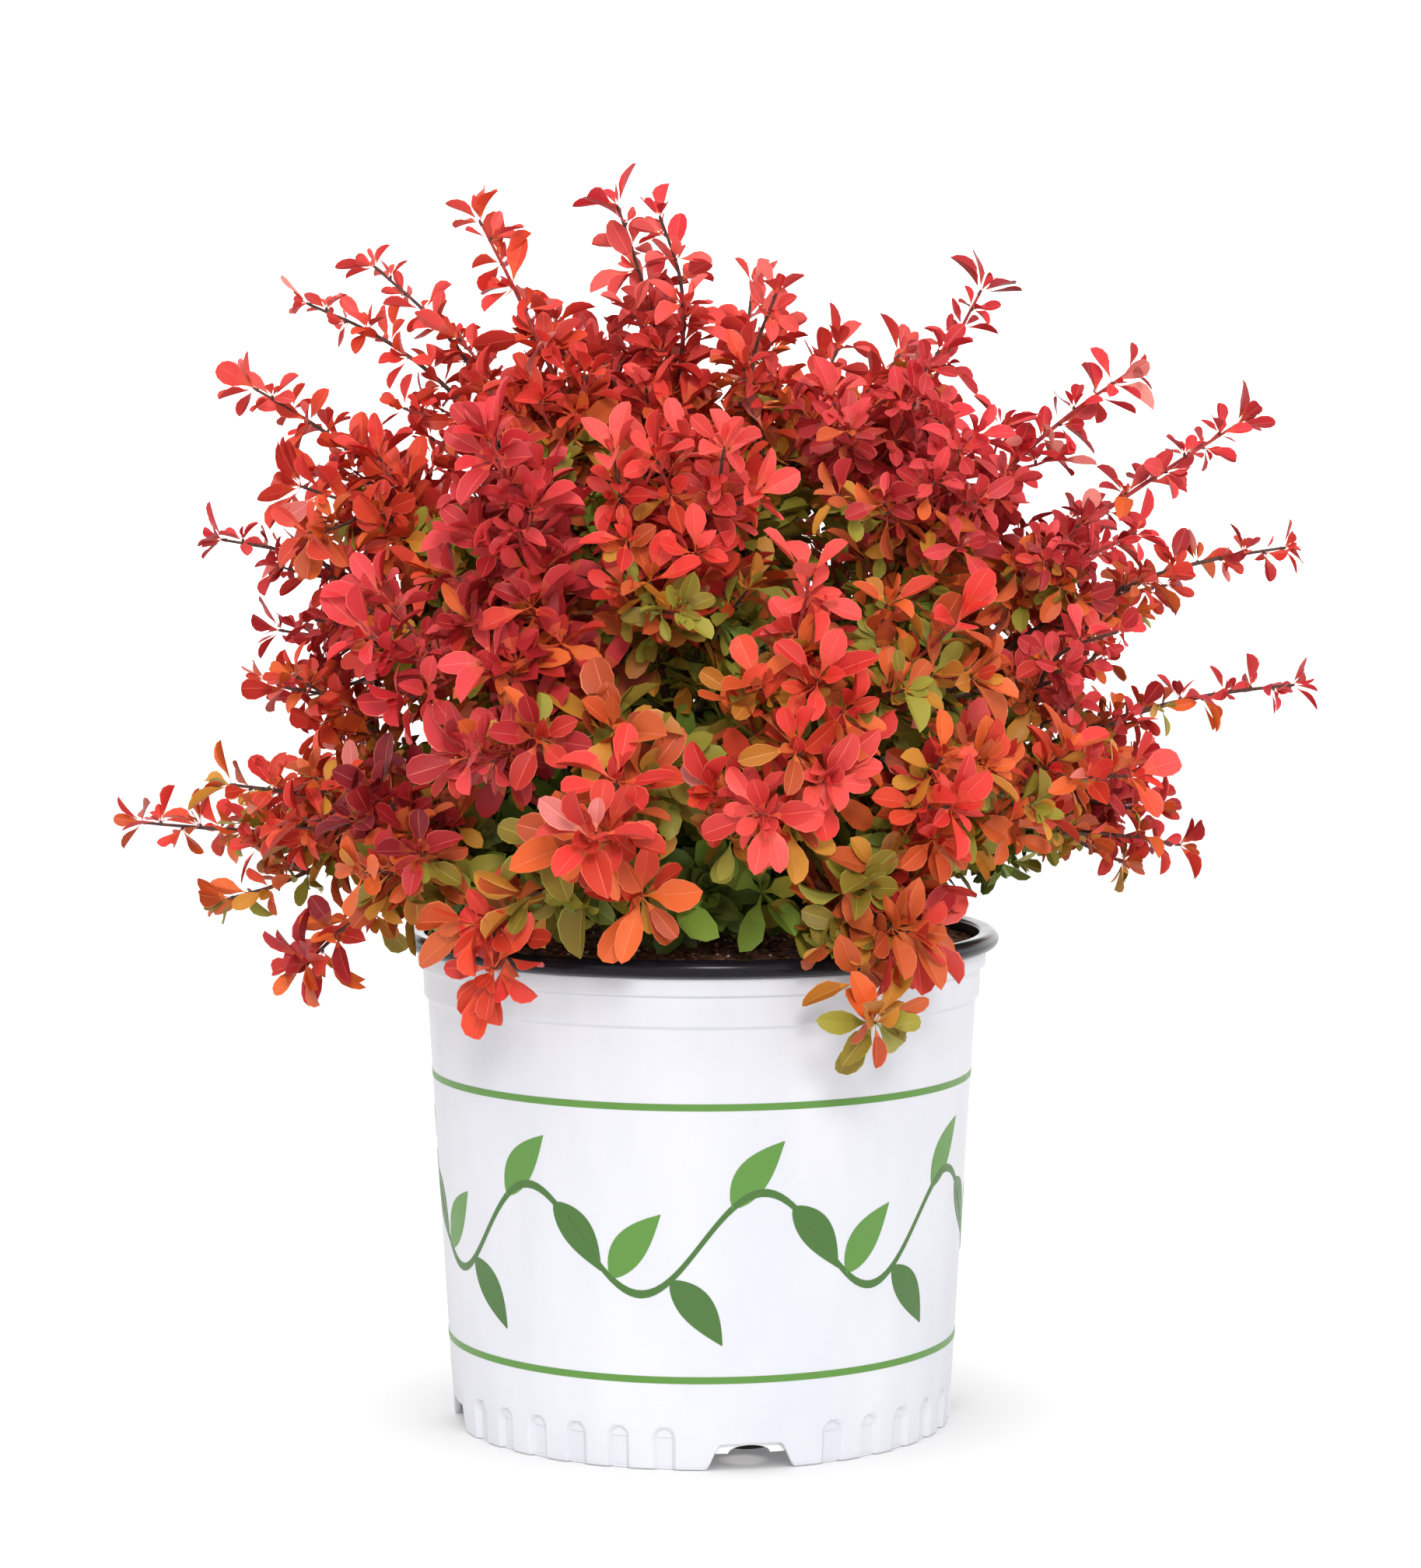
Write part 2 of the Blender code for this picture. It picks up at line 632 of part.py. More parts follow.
class LeafRule:
    """Deals out the twigs and leaves of one mass in a seeded order."""

    def __init__(self, crown, index):
        self.crown = crown
        self.index = index
        self.mass = crown.masses[index]
        self.random = random.Random(SEED + index)
        self.turn = self.random.uniform(0, 360)
        self.probes = leaf_probes()
        self.grown = [path_tree(shoot) for shoot in self.mass.shoots]

    def fits(self, matrix):
        """Whether a leaf keeps to its mass's space and crosses nothing of its own mass."""
        placed = (self.probes @ np.array(matrix).T)[:, :3]
        if not self.crown.holds(self.index, placed):
            return False
        blade = blade_tree(matrix)
        return not any(blade.overlap(other) for other in self.grown)

    def keep(self, matrix):
        self.mass.leaves.append(matrix)
        self.grown.append(blade_tree(matrix))

    def grow_tip_leaf(self, shoot, free):
        """The leaf that goes on from a shoot's end. A free one marks the crown's reach."""
        end, axis = point_at(shoot, 1.0)
        for _ in range(LEAF_TRIES):
            roll = self.random.uniform(0, 2 * math.pi)
            matrix = leaf_matrix(end, axis, 0.001, roll, TIP_LEAF_LENGTH, TIP_LEAF_ROOT_DEPTH)
            if free or self.fits(matrix):
                self.keep(matrix)
                return

    def grow_leaf(self, seat, axis):
        for attempt in range(LEAF_TRIES):
            self.turn += GOLDEN_ANGLE
            spread_range = OPEN_SPREAD if attempt < LEAF_TRIES / 2 else CLOSE_SPREAD
            angle = math.radians(self.random.uniform(*spread_range))
            shrink = LEAF_SHRINKS[attempt % len(LEAF_SHRINKS)]
            matrix = leaf_matrix(
                seat, axis, angle, math.radians(self.turn), LEAF_LENGTH * shrink, LEAF_ROOT_DEPTH
            )
            if self.fits(matrix):
                self.keep(matrix)
                return

    def grow_on(self, shoot, foot_share, free_tip):
        """A tip leaf, a whorl just below it, and pairs of leaves down the shoot."""
        self.grow_tip_leaf(shoot, free_tip)
        seat_step = SEAT_STEP if self.mass.limb else SKIRT_SEAT_STEP
        length = path_length(shoot)
        back = TIP_WHORL_BACK
        while back + PAIR_STEP < length * (1 - foot_share):
            for number in range(LEAVES_A_SEAT):
                seat, axis = point_at(shoot, 1 - (back + number * PAIR_STEP) / length)
                self.grow_leaf(seat, axis)
            back += seat_step

    def grow_twigs(self, shoot):
        length = path_length(shoot)
        back = TWIG_STEP * 0.6
        while back < length * (1 - SEAT_FOOT_SHARE):
            seat, axis = point_at(shoot, 1 - back / length)
            for _ in range(TWIG_TRIES):
                self.turn += GOLDEN_ANGLE
                side = axis.orthogonal().normalized()
                side.rotate(Matrix.Rotation(math.radians(self.turn), 3, axis))
                angle = math.radians(TWIG_SPREAD)
                along = axis * math.cos(angle) + side * math.sin(angle)
                twig = [seat, seat + along * TWIG_LENGTH]
                reach = seat + along * (TWIG_LENGTH + TIP_LEAF_LENGTH)
                if self.crown.holds(self.index, np.array([twig[1], reach])):
                    self.mass.twigs.append(twig)
                    self.grown.append(path_tree(twig))
                    self.crown.add(self.index, twig)
                    break
            back += TWIG_STEP


def section(name, sides, helpers):
    """The outline that tapering limbs are drawn with: a ring of unit radius with a few corners."""
    curve = bpy.data.curves.new(name, "CURVE")
    ring = curve.splines.new("POLY")
    ring.points.add(sides - 1)
    for index, point in enumerate(ring.points):
        angle = 2 * math.pi * index / sides
        point.co = (math.cos(angle), math.sin(angle), 0, 1)
    ring.use_cyclic_u = True
    obj = bpy.data.objects.new(name, curve)
    helpers.objects.link(obj)
    obj.hide_render = True
    return obj


def tapering(name, points, first_radius, last_radius, outline, collection):
    """A closed limb along a path, as a mesh made from a bevelled curve."""
    curve = bpy.data.curves.new(name, "CURVE")
    curve.dimensions = "3D"
    curve.bevel_mode = "OBJECT"
    curve.bevel_object = outline
    curve.use_fill_caps = True
    spline = curve.splines.new("POLY")
    spline.points.add(len(points) - 1)
    for index, (point, place_on) in enumerate(zip(spline.points, points)):
        point.co = (*place_on, 1)
        point.radius = first_radius + (last_radius - first_radius) * index / (len(points) - 1)
    drawn = bpy.data.objects.new(name, curve)
    collection.objects.link(drawn)
    graph = bpy.context.evaluated_depsgraph_get()
    made = bpy.data.meshes.new_from_object(drawn.evaluated_get(graph))
    shape = bmesh.new()
    shape.from_mesh(made)
    bmesh.ops.remove_doubles(shape, verts=shape.verts, dist=0.000001)
    bmesh.ops.recalc_face_normals(shape, faces=shape.faces)
    mesh = mesh_from(shape, name)
    bpy.data.objects.remove(drawn)
    bpy.data.curves.remove(curve)
    bpy.data.meshes.remove(made)
    return add_object(name, mesh, collection)


def islands(shape):
    """The connected bodies of a bmesh, each as a set of faces."""
    left = set(shape.faces)
    while left:
        body = {left.pop()}
        edge_of_search = list(body)
        while edge_of_search:
            face = edge_of_search.pop()
            for edge in face.edges:
                for other in edge.link_faces:
                    if other in left:
                        left.remove(other)
                        body.add(other)
                        edge_of_search.append(other)
        yield body


def volume_of(faces):
    total = 0.0
    for face in faces:
        corners = [vert.co for vert in face.verts]
        for second, third in zip(corners[1:], corners[2:]):
            total += corners[0].dot(second.cross(third)) / 6
    return total


def fused(name, base, pieces, collection, surface):
    """One solid from overlapping pieces: sealed hollows are filled and loose scraps dropped."""
    union = base.modifiers.new("fuse", "BOOLEAN")
    union.operation = "UNION"
    union.solver = "EXACT"
    union.operand_type = "COLLECTION"
    union.collection = pieces
    graph = bpy.context.evaluated_depsgraph_get()
    made = bpy.data.meshes.new_from_object(base.evaluated_get(graph))
    shape = bmesh.new()
    shape.from_mesh(made)
    bodies = list(islands(shape))
    largest = max(bodies, key=volume_of)
    spare = [face for body in bodies if body is not largest for face in body]
    bmesh.ops.delete(shape, geom=spare, context="FACES")
    bmesh.ops.triangulate(shape, faces=shape.faces)
    for obj in [base, *pieces.objects]:
        mesh = obj.data
        bpy.data.objects.remove(obj)
        if not mesh.users:
            bpy.data.meshes.remove(mesh)
    bpy.data.collections.remove(pieces)
    bpy.data.meshes.remove(made)
    return add_object(name, mesh_from(shape, name), collection, surface)


def tint_of(mass):
    height = point_at(mass.shoots[0], 0.8)[0].z
    for name, top, colour in TINTS:
        if height < top:
            return material(name, colour, 0.55)


def build_foliage(mass, leaf, outlines, parts):
    """The stem past the bough's end with its side shoots, twigs and leaves, fused into one solid."""
    name = "foliage_" + mass.name
    pieces = new_collection(name + "_pieces")
    stem = mass.shoots[0]
    base = tapering(name + "_stem", stem, SHOOT_FOOT_RADIUS, SHOOT_TIP_RADIUS, outlines[3], parts)
    for number, shoot in enumerate(mass.shoots[1:]):
        tapering(
            f"{name}_side_{number}", shoot, SHOOT_FOOT_RADIUS * 0.8, SHOOT_TIP_RADIUS,
            outlines[3], pieces,
        )
    for number, twig in enumerate(mass.twigs):
        tapering(f"{name}_twig_{number}", twig, TWIG_RADIUS, TWIG_RADIUS * 0.8, outlines[3], pieces)
    for number, matrix in enumerate(mass.leaves):
        blade = bpy.data.objects.new(f"{name}_leaf_{number}", leaf)
        blade.matrix_world = matrix
        pieces.objects.link(blade)
    return fused(name, base, pieces, parts, tint_of(mass))


def build_cane(mass, outlines, parts):
    bark = material("cane_bark", (0.16, 0.075, 0.045), 0.7)
    points = resampled(mass.limb, LIMB_POINTS)
    cane = tapering("cane_" + mass.name, points, CANE_FOOT_RADIUS, CANE_END_RADIUS, outlines[5], parts)
    cane.data.materials.append(bark)


def start_direction(tip_place):
    """Where a cane sets off: towards its tip, lifted a little."""
    towards = place(*tip_place) - crown_centre()
    rise = min(MOST_START_RISE, rise_of(towards) + START_LIFT)
    return heading(tip_place[0], rise)


def plan_masses():
    entries = [(name, entry, True) for name, entry in CANES.items()]
    entries += [("skirt_" + name, entry, False) for name, entry in SKIRTS.items()]
    directions = spread([start_direction(entry[0]) for _, entry, _ in entries])
    return [
        Mass(name, direction, entry, has_limb)
        for (name, entry, has_limb), direction in zip(entries, directions)
    ]


def plan_leaves(masses):
    crown = Crown(masses)
    rules = [LeafRule(crown, index) for index in range(len(masses))]
    for rule in rules:
        for shoot in rule.mass.shoots:
            rule.grow_twigs(shoot)
    for rule in rules:
        for number, shoot in enumerate(rule.mass.shoots):
            foot_share = SEAT_FOOT_SHARE
            if not rule.mass.limb and number == 0:
                foot_share = 0.4
            rule.grow_on(shoot, foot_share, free_tip=number == 0)
        for twig in rule.mass.twigs:
            rule.grow_on(twig, 0.5, free_tip=False)


def main():
    for obj in list(bpy.data.objects):
        bpy.data.objects.remove(obj, do_unlink=True)
    parts = new_collection(OBJECT_NAME)
    helpers = new_collection("cutters")
    build_pot(parts, helpers)
    build_lip(parts)
    build_soil(parts)
    build_root_crown(parts)
    outlines = {sides: section(f"outline_{sides}", sides, helpers) for sides in (3, 5)}
    masses = plan_masses()
    plan_leaves(masses)
    leaf = leaf_shape()
    for mass in masses:
        if mass.limb:
            build_cane(mass, outlines, parts)
        build_foliage(mass, leaf, outlines, parts)


if __name__ == "__main__":
    main()
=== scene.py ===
"""The looks of a potted Japanese barberry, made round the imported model.

Metres and degrees, +Z up. The origin is the centre of the pot's underside, and the front is towards -Y.
An azimuth is counted from the front towards +X.
"""

import json
import math
import random

import bmesh
import bpy
import numpy as np
from mathutils import Matrix, Vector, noise


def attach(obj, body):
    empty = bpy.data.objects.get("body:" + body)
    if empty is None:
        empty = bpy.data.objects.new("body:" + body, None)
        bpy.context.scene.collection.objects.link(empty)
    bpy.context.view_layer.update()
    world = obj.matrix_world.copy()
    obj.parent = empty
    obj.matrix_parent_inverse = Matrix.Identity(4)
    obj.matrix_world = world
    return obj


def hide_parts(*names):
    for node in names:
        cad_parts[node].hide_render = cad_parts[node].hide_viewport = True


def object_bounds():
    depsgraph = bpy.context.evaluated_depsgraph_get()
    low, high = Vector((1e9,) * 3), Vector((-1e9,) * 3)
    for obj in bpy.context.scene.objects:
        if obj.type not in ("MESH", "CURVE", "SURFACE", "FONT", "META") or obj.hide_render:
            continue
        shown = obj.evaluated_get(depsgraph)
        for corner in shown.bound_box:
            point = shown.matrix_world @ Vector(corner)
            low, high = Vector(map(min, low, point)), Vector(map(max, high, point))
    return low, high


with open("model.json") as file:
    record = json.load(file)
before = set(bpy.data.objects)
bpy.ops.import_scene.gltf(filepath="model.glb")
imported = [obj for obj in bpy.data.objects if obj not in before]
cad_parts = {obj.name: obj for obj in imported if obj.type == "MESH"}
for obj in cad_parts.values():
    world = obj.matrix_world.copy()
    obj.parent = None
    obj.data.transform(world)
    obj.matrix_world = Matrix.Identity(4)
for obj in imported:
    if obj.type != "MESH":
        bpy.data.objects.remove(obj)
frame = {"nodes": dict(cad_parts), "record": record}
CAD_LOW, CAD_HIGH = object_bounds()
NODES = sorted(frame["nodes"])
SLOT_OF_NODE = {row["node"]: row["material_slot"] for row in frame["record"]["subparts"]}
BODY = "root"
SEED = 41
# Stretches of noise: even, and drawn out along Z
EVEN = (1.0, 1.0, 1.0)
DRAWN_OUT = (1.0, 1.0, 0.35)

# Photograph's view: the camera's place, its tilt below the level, and its lens
CAMERA_PLACE = (0.0034, -1.6231, 0.3682)
CAMERA_DIP = 4.288
CAMERA_LENS = 96.55
CAMERA_SENSOR = 36.0

# Stage: a low wall far round the floor, the sky's strength, and three suns, each with its azimuth, elevation,
# strength and softness
WALL_DISTANCE = 7.0
WALL_HEIGHT = 2.6
STAGE_STEPS = 96
FLOOR_LEVEL = -0.0002
WALL_FOOT = -0.001
SKY_STRENGTH = 0.82
KEY_LIGHT = (5, 27, 1.6, 14)
OVERHEAD_LIGHT = (-10, 74, 0.75, 60)
FLOOR_LIGHT = (-20, 86, 1.15, 32)

# Pot: outer radii and heights of its bands, taper and foot
LIP_RADIUS = 0.1150
LIP_TOP = 0.1910
LIP_BOTTOM = 0.1843
LIP_INNER_RADIUS = 0.1073
LIP_SKIRT_WALL = 0.0010
LIP_SKIRT_BOTTOM = 0.1800
LIP_SHOULDER_DROP = 0.0006
LIP_ROLL_STEPS = 24
UPPER_BAND_RADIUS = 0.1102
UPPER_BAND_BOTTOM = 0.1775
UPPER_BAND_DRAFT = 0.0002
LOWER_BAND_RADIUS = 0.1080
LOWER_BAND_DRAFT = 0.0003
COLLAR_BOTTOM = 0.1660
BODY_TOP_RADIUS = 0.1062
FOOT_RADIUS = 0.0966
POT_WALL = 0.0016
BAND_CHAMFER = 0.0012
UPPER_BAND_CHAMFER = BAND_CHAMFER * 0.6
FOOT_RING_WALL = 0.0024
FLOOR_UNDERSIDE = 0.0100
FLOOR_TOP = 0.0120
POT_GAP = 0.0003
POT_STEPS = 720
LIP_STEPS = 360
CORNER_RADIUS = 0.0007
LIP_CORNER_RADIUS = 0.0012
WELD_DISTANCE = 0.000002
BODY_ROWS = (0.10, 0.05)
FOOT_ROWS_TOP = 0.0200
FOOT_ROWS = 16
INNER_FOOT_ROWS = (0.004, 0.008)
EDGE_BEVEL = 0.0002
# The most that a rounded corner takes up of each edge beside it, and how deep in the wall a point still
# belongs to the outer face, as a share of the wall's thickness
MOST_CORNER_SHARE = 0.45
OUTER_FACE_SHARE = 0.45

# Foot: notches with a drain hole behind each, and flutes between them
FIRST_NOTCH_AZIMUTH = 11.0
QUADRANT = 90.0
NOTCH_HEIGHT = 0.0092
NOTCH_FOOT_HALF = 0.0172
NOTCH_TOP_HALF = 0.0112
FLUTE_OFFSETS = (-25.8, -15.5, -5.2, 5.2, 15.5, 25.8)
FLUTE_HALF_WIDTH = 0.0045
FLUTE_HEIGHT = 0.0162
FLUTE_DEPTH = 0.0021
FLUTE_EDGE = 0.0019
DRAIN_RING_RADIUS = 0.0800
DRAIN_RADIUS = 0.0080
DRAIN_CUT_DEPTH = 0.012
# Short wall behind each notch with a half-round slot, and behind the slot a near-black plate of painted shade
SLOT_WALL_RADIUS = 0.0930
SLOT_WALL_THICKNESS = 0.0012
SLOT_WALL_LOW = 0.0054
SLOT_WALL_HALF = 0.0150
SLOT_HALF = 0.0080
SLOT_RISE = 0.0029
SLOT_STEPS = 60
SHADE_PLATE_THICKNESS = 0.0006
SHADE_PLATE_GAP = 0.0004
SHADE_PLATE_LOW = 0.0078
SHADE_PLATE_SAG = 0.0014
SHADE_PLATE_MIDDLE = SLOT_HALF * 0.05
SHADE_PLATE_STEPS = 24

# Soil
SOIL_CENTRE_TOP = 0.1900
SOIL_EDGE_TOP = 0.1862
SOIL_FLAT_RADIUS = 0.026
SOIL_RINGS = 56
SOIL_STEPS = 150
SOIL_ROUGHNESS = 0.0016
SOIL_SINK = 0.0006
LUMP_FINENESS = 90
CLOD_FINENESS = 260
# Bark chips, with the spans of their half lengths, widths and heights, and rounder white grains
CHIP_COUNT = 1500
CHIP_SIZES = ((0.0012, 0.0032), (0.0005, 0.0011), (0.0003, 0.0007))
GRAIN_COUNT = 150
GRAIN_RADII = (0.00045, 0.00095)
GRAIN_FLATNESS = 0.8
CRUMB_JOLTS = (0.75, 1.2)
CRUMB_SPREAD = (0.02, 0.97)
CRUMB_FROM_EDGE = 0.002
CRUMB_TILTS = (0.35, 0.30)

# Root crown and canes, by the same rule as the solids
CLEARANCE = 0.0003
CROWN_CENTRE = Vector((0, 0, SOIL_CENTRE_TOP + CLEARANCE))
CROWN_RADIUS = 0.0210
CROWN_FOOT = 0.004
CROWN_SHRINK = 0.06
CROWN_FLARE = 0.10
BURL_DEPTH = 0.10
BURL_FINENESS = 2.4
BURL_SPOT = Vector((3.1, 0.7, 5.2))
FURROW_DEPTH = 0.05
FURROW_FINENESS = Vector((9, 9, 2.5))
BOUGH_SHARE = 0.30
FIRST_HANDLE = 0.40
LAST_HANDLE = 0.34
SIDE_HANDLE = 0.36
CURVE_STEPS = 40
CANE_STEPS = 60
SIDE_STEPS = 24
LEAST_START_RISE = 20.0
MOST_START_RISE = 84.0
START_LIFT = 10.0
LEAST_START_ANGLE = 20.5
SPREAD_ROUNDS = 300
TIP_LEAF_REACH = 0.0260
TIP_WHORL_DRAWN_ON = 0.010
PROBE_STEP = 0.004

# Thickness of the wood
LIMB_FOOT_RADIUS = 0.0027
LIMB_END_RADIUS = 0.0019
SHOOT_TIP_RADIUS = 0.00055
SIDE_FOOT_RADIUS = 0.00125
BRANCHLET_FOOT_RADIUS = 0.00102
TWIG_FOOT_RADIUS = 0.00085
TWIG_TIP_RADIUS = 0.00045
SPUR_RADII = (0.0009, 0.0006)
SPUR_SINK = 0.0004
LIMB_SINK = 0.006
# Sides, step from ring to ring and depth of the ridges of each kind of wood
LIMB_SKIN = (12, 0.0015, 0.16)
SHOOT_SKIN = (7, 0.0022, 0.14)
BRANCHLET_SKIN = (6, 0.004, 0.10)
TWIG_SKIN = (5, 0.005, 0.0)
RED_TWIGS_ABOVE = 0.36
# Noise of the ridges: its spread round and along the wood, and the finenesses of its large and small ridges
RIDGE_AROUND = 1.6
RIDGE_ALONG = 0.16
RIDGE_FINENESSES = (1.3, 3.1)

# Branches of each kind: how far apart, between which lengths and angles from their shoot, and how far out
# their tips may lie, so that single shoots stand out of a closed crown
BRANCHLETS = (0.030, (0.050, 0.080), (28.0, 46.0), 0.71)
TWIGS = (0.0125, (0.020, 0.042), (38.0, 62.0), 0.77)
LIMB_TWIGS = (0.006, (0.028, 0.052), (38.0, 62.0), 0.77)
LIMB_BARE_SHARE = 0.34
BRANCH_TOP_SHARE = 0.72
BRANCH_TRIES = 8
BRANCH_STEPS = 9
BRANCH_LENGTH_AT_FOOT = 1.1
BRANCH_LENGTH_FALL = 0.5
BRANCH_AHEAD = 0.5
BRANCH_UP = Vector((0, 0, 0.25))
LEAST_HANGING_HEIGHT = 0.2120
# Share of a leaf's length that has to fit past a branch's tip
TIP_ROOM = 0.7

# Whorls: how far apart on each kind of shoot, how much of its foot stays bare, and how many leaves they have
WHORL_STEP = 0.0086
TWIG_WHORL_STEP = 0.0078
WHORL_FOOT_SHARE = 0.08
TWIG_FOOT_SHARE = 0.20
SKIRT_FOOT_SHARE = 0.25
WHORL_STEP_SHARES = (0.85, 1.2)
FIRST_STEP_SHARE = 0.8
SIDE_COUNTS = (5, 6, 6, 7)
TIP_COUNTS = (5, 6, 7)
FULL_TIP_COUNTS = (6, 7, 8)
INNER_COUNT = 2
# How far the leaves of a whorl lean out from its spur
TIP_OPENINGS = (24, 80)
SIDE_OPENINGS = (36, 88)
INNER_OPENINGS = (8, 36)
# A whorl's spur points aside from its shoot, partly ahead and up
SPUR_ASIDE = 0.86
SPUR_AHEAD = 0.42
SPUR_UP = Vector((0, 0, 0.18))
SPUR_TURN_WANDER = 10
# A leaf's upper face turns to the light, which comes from above and outside the crown
LIGHT_OUTWARD = 0.8
LIGHT_FLATNESS = 0.6
LIGHT_UP = Vector((0, 0, 0.65))
FACE_TO_LIGHT = (0.15, 0.95)
FACE_TWIST = 0.30
MOST_FACE_TILT = 0.93
LEAF_TURN_WANDER = 0.34
# A side leaf that points back along its shoot more than this turns ahead, by this share of the shoot's axis
MOST_BACKWARD = -0.35
TURNED_AHEAD = 0.45
# How a leaf that would touch the pot turns away
TURNED_ASIDE = 0.9
TURNED_TO_LIGHT = 0.25
# A shoot that hangs more steeply than this ends in a full rosette turned outwards
HANGING_RISE = -0.30
HANGING_OPENINGS = (46, 104)
HANGING_COUNT = 14
HANGING_SIZE = 0.97
HANGING_RIPER = 0.03
HANGING_AXIS_SHARE = 0.35
# The turn from whorl to whorl, the spurs with the place where leaves sit on them, and the spines
GOLDEN_ANGLE = 137.5
SPUR_LENGTH = 0.0016
SPURS_FROM = 0.62
LEAF_SEAT_SHARE = 0.7
SPINE_SHARE = 0.55
SPINE_LENGTHS = (0.0045, 0.0085)
SPINE_RADIUS = 0.00024
SPINE_BACKWARD = 0.15
# Room kept between two masses, round the pot and round the limbs, and how far leaves may reach past the
# solids
SPACE_MARGIN = 0.0020
POT_MARGIN = 0.0016
LIMB_MARGIN = 0.0022
REACH_SPARE = 0.0060

# Leaves, at life size but for the innermost, which are drawn a little larger to close the crown
LEAF_LENGTH = 0.0182
INNER_GROWTH = 0.45
INNER_END = 0.66
LEAF_TRIES = 4
LEAF_WIDTH_SHARES = (0.37, 0.50)
LEAF_LENGTH_SHARES = (0.70, 1.18)
SIDE_LENGTH_SHARES = (0.84, 1.12)
INNER_LEAF_SHARE = 0.60
INNER_LESS_RIPE = 0.05
FULL_TIP_FROM = 1.12
TIP_LENGTH_SHARE = 0.92
YOUNG_LEAVES_WITHIN = 0.028
YOUNG_LEAF_LOSS = 0.24
FINE_LEAF_FROM = 0.60
# Points over a leaf of unit length and width that have to clear the pot and stay in reach
LEAF_PROBES = np.array([(0.3, 0.0), (0.6, 0.4), (0.6, -0.4), (0.85, 0.4), (0.85, -0.4), (1.0, 0.0)])
AIM_PROBES = (0.45, 0.75, 1.0)

# Outline of a leaf: stations from its stalk to its blunt end, and the shares of its pale rim and midrib
FINE_STATIONS = (0.0, 0.15, 0.31, 0.48, 0.66, 0.83, 0.95)
PLAIN_STATIONS = (0.0, 0.26, 0.50, 0.75, 0.93)
STALK_HALF = 0.026
STALK_END = 0.10
BASE_TAPER = 1.95
WAVE_FINENESS = 5.0
RIM_SHARE = 0.07
MIDRIB_SHARE = 0.04
ROOT_ZONE_END = 0.28
MIDDLE_ZONE_END = 0.45
PALE_FROM = 0.20
FIRST_BLADE, SECOND_BLADE, RIM, ROOT_ZONE, MIDDLE_ZONE = range(5)
# Cupping, bend and wave of each kind of leaf, and how far out it is fullest
FINE_KINDS = (
    (0.30, 0.10, 0.05, 0.66), (0.16, 0.24, -0.06, 0.60), (0.40, 0.02, 0.04, 0.70), (0.10, -0.10, 0.08, 0.64),
    (0.24, 0.16, -0.03, 0.68), (0.46, 0.28, 0.03, 0.60), (0.20, -0.04, 0.07, 0.72),
)
PLAIN_KINDS = ((0.28, 0.12, 0.0, 0.64), (0.12, 0.02, 0.0, 0.60), (0.20, 0.22, 0.0, 0.68))
MOST_LEAVES_IN_PIECE = 3000
LEAVES_AT_ONCE = 1000
# Joined pieces have sharp edges from this angle on
SHARP_FROM = 50

# Middle and half axes of the crown, to tell its outer leaves from its inner ones
CROWN_MIDDLE = (0.0, 0.0, 0.262)
CROWN_HALF_AXES = (0.238, 0.204, 0.220)

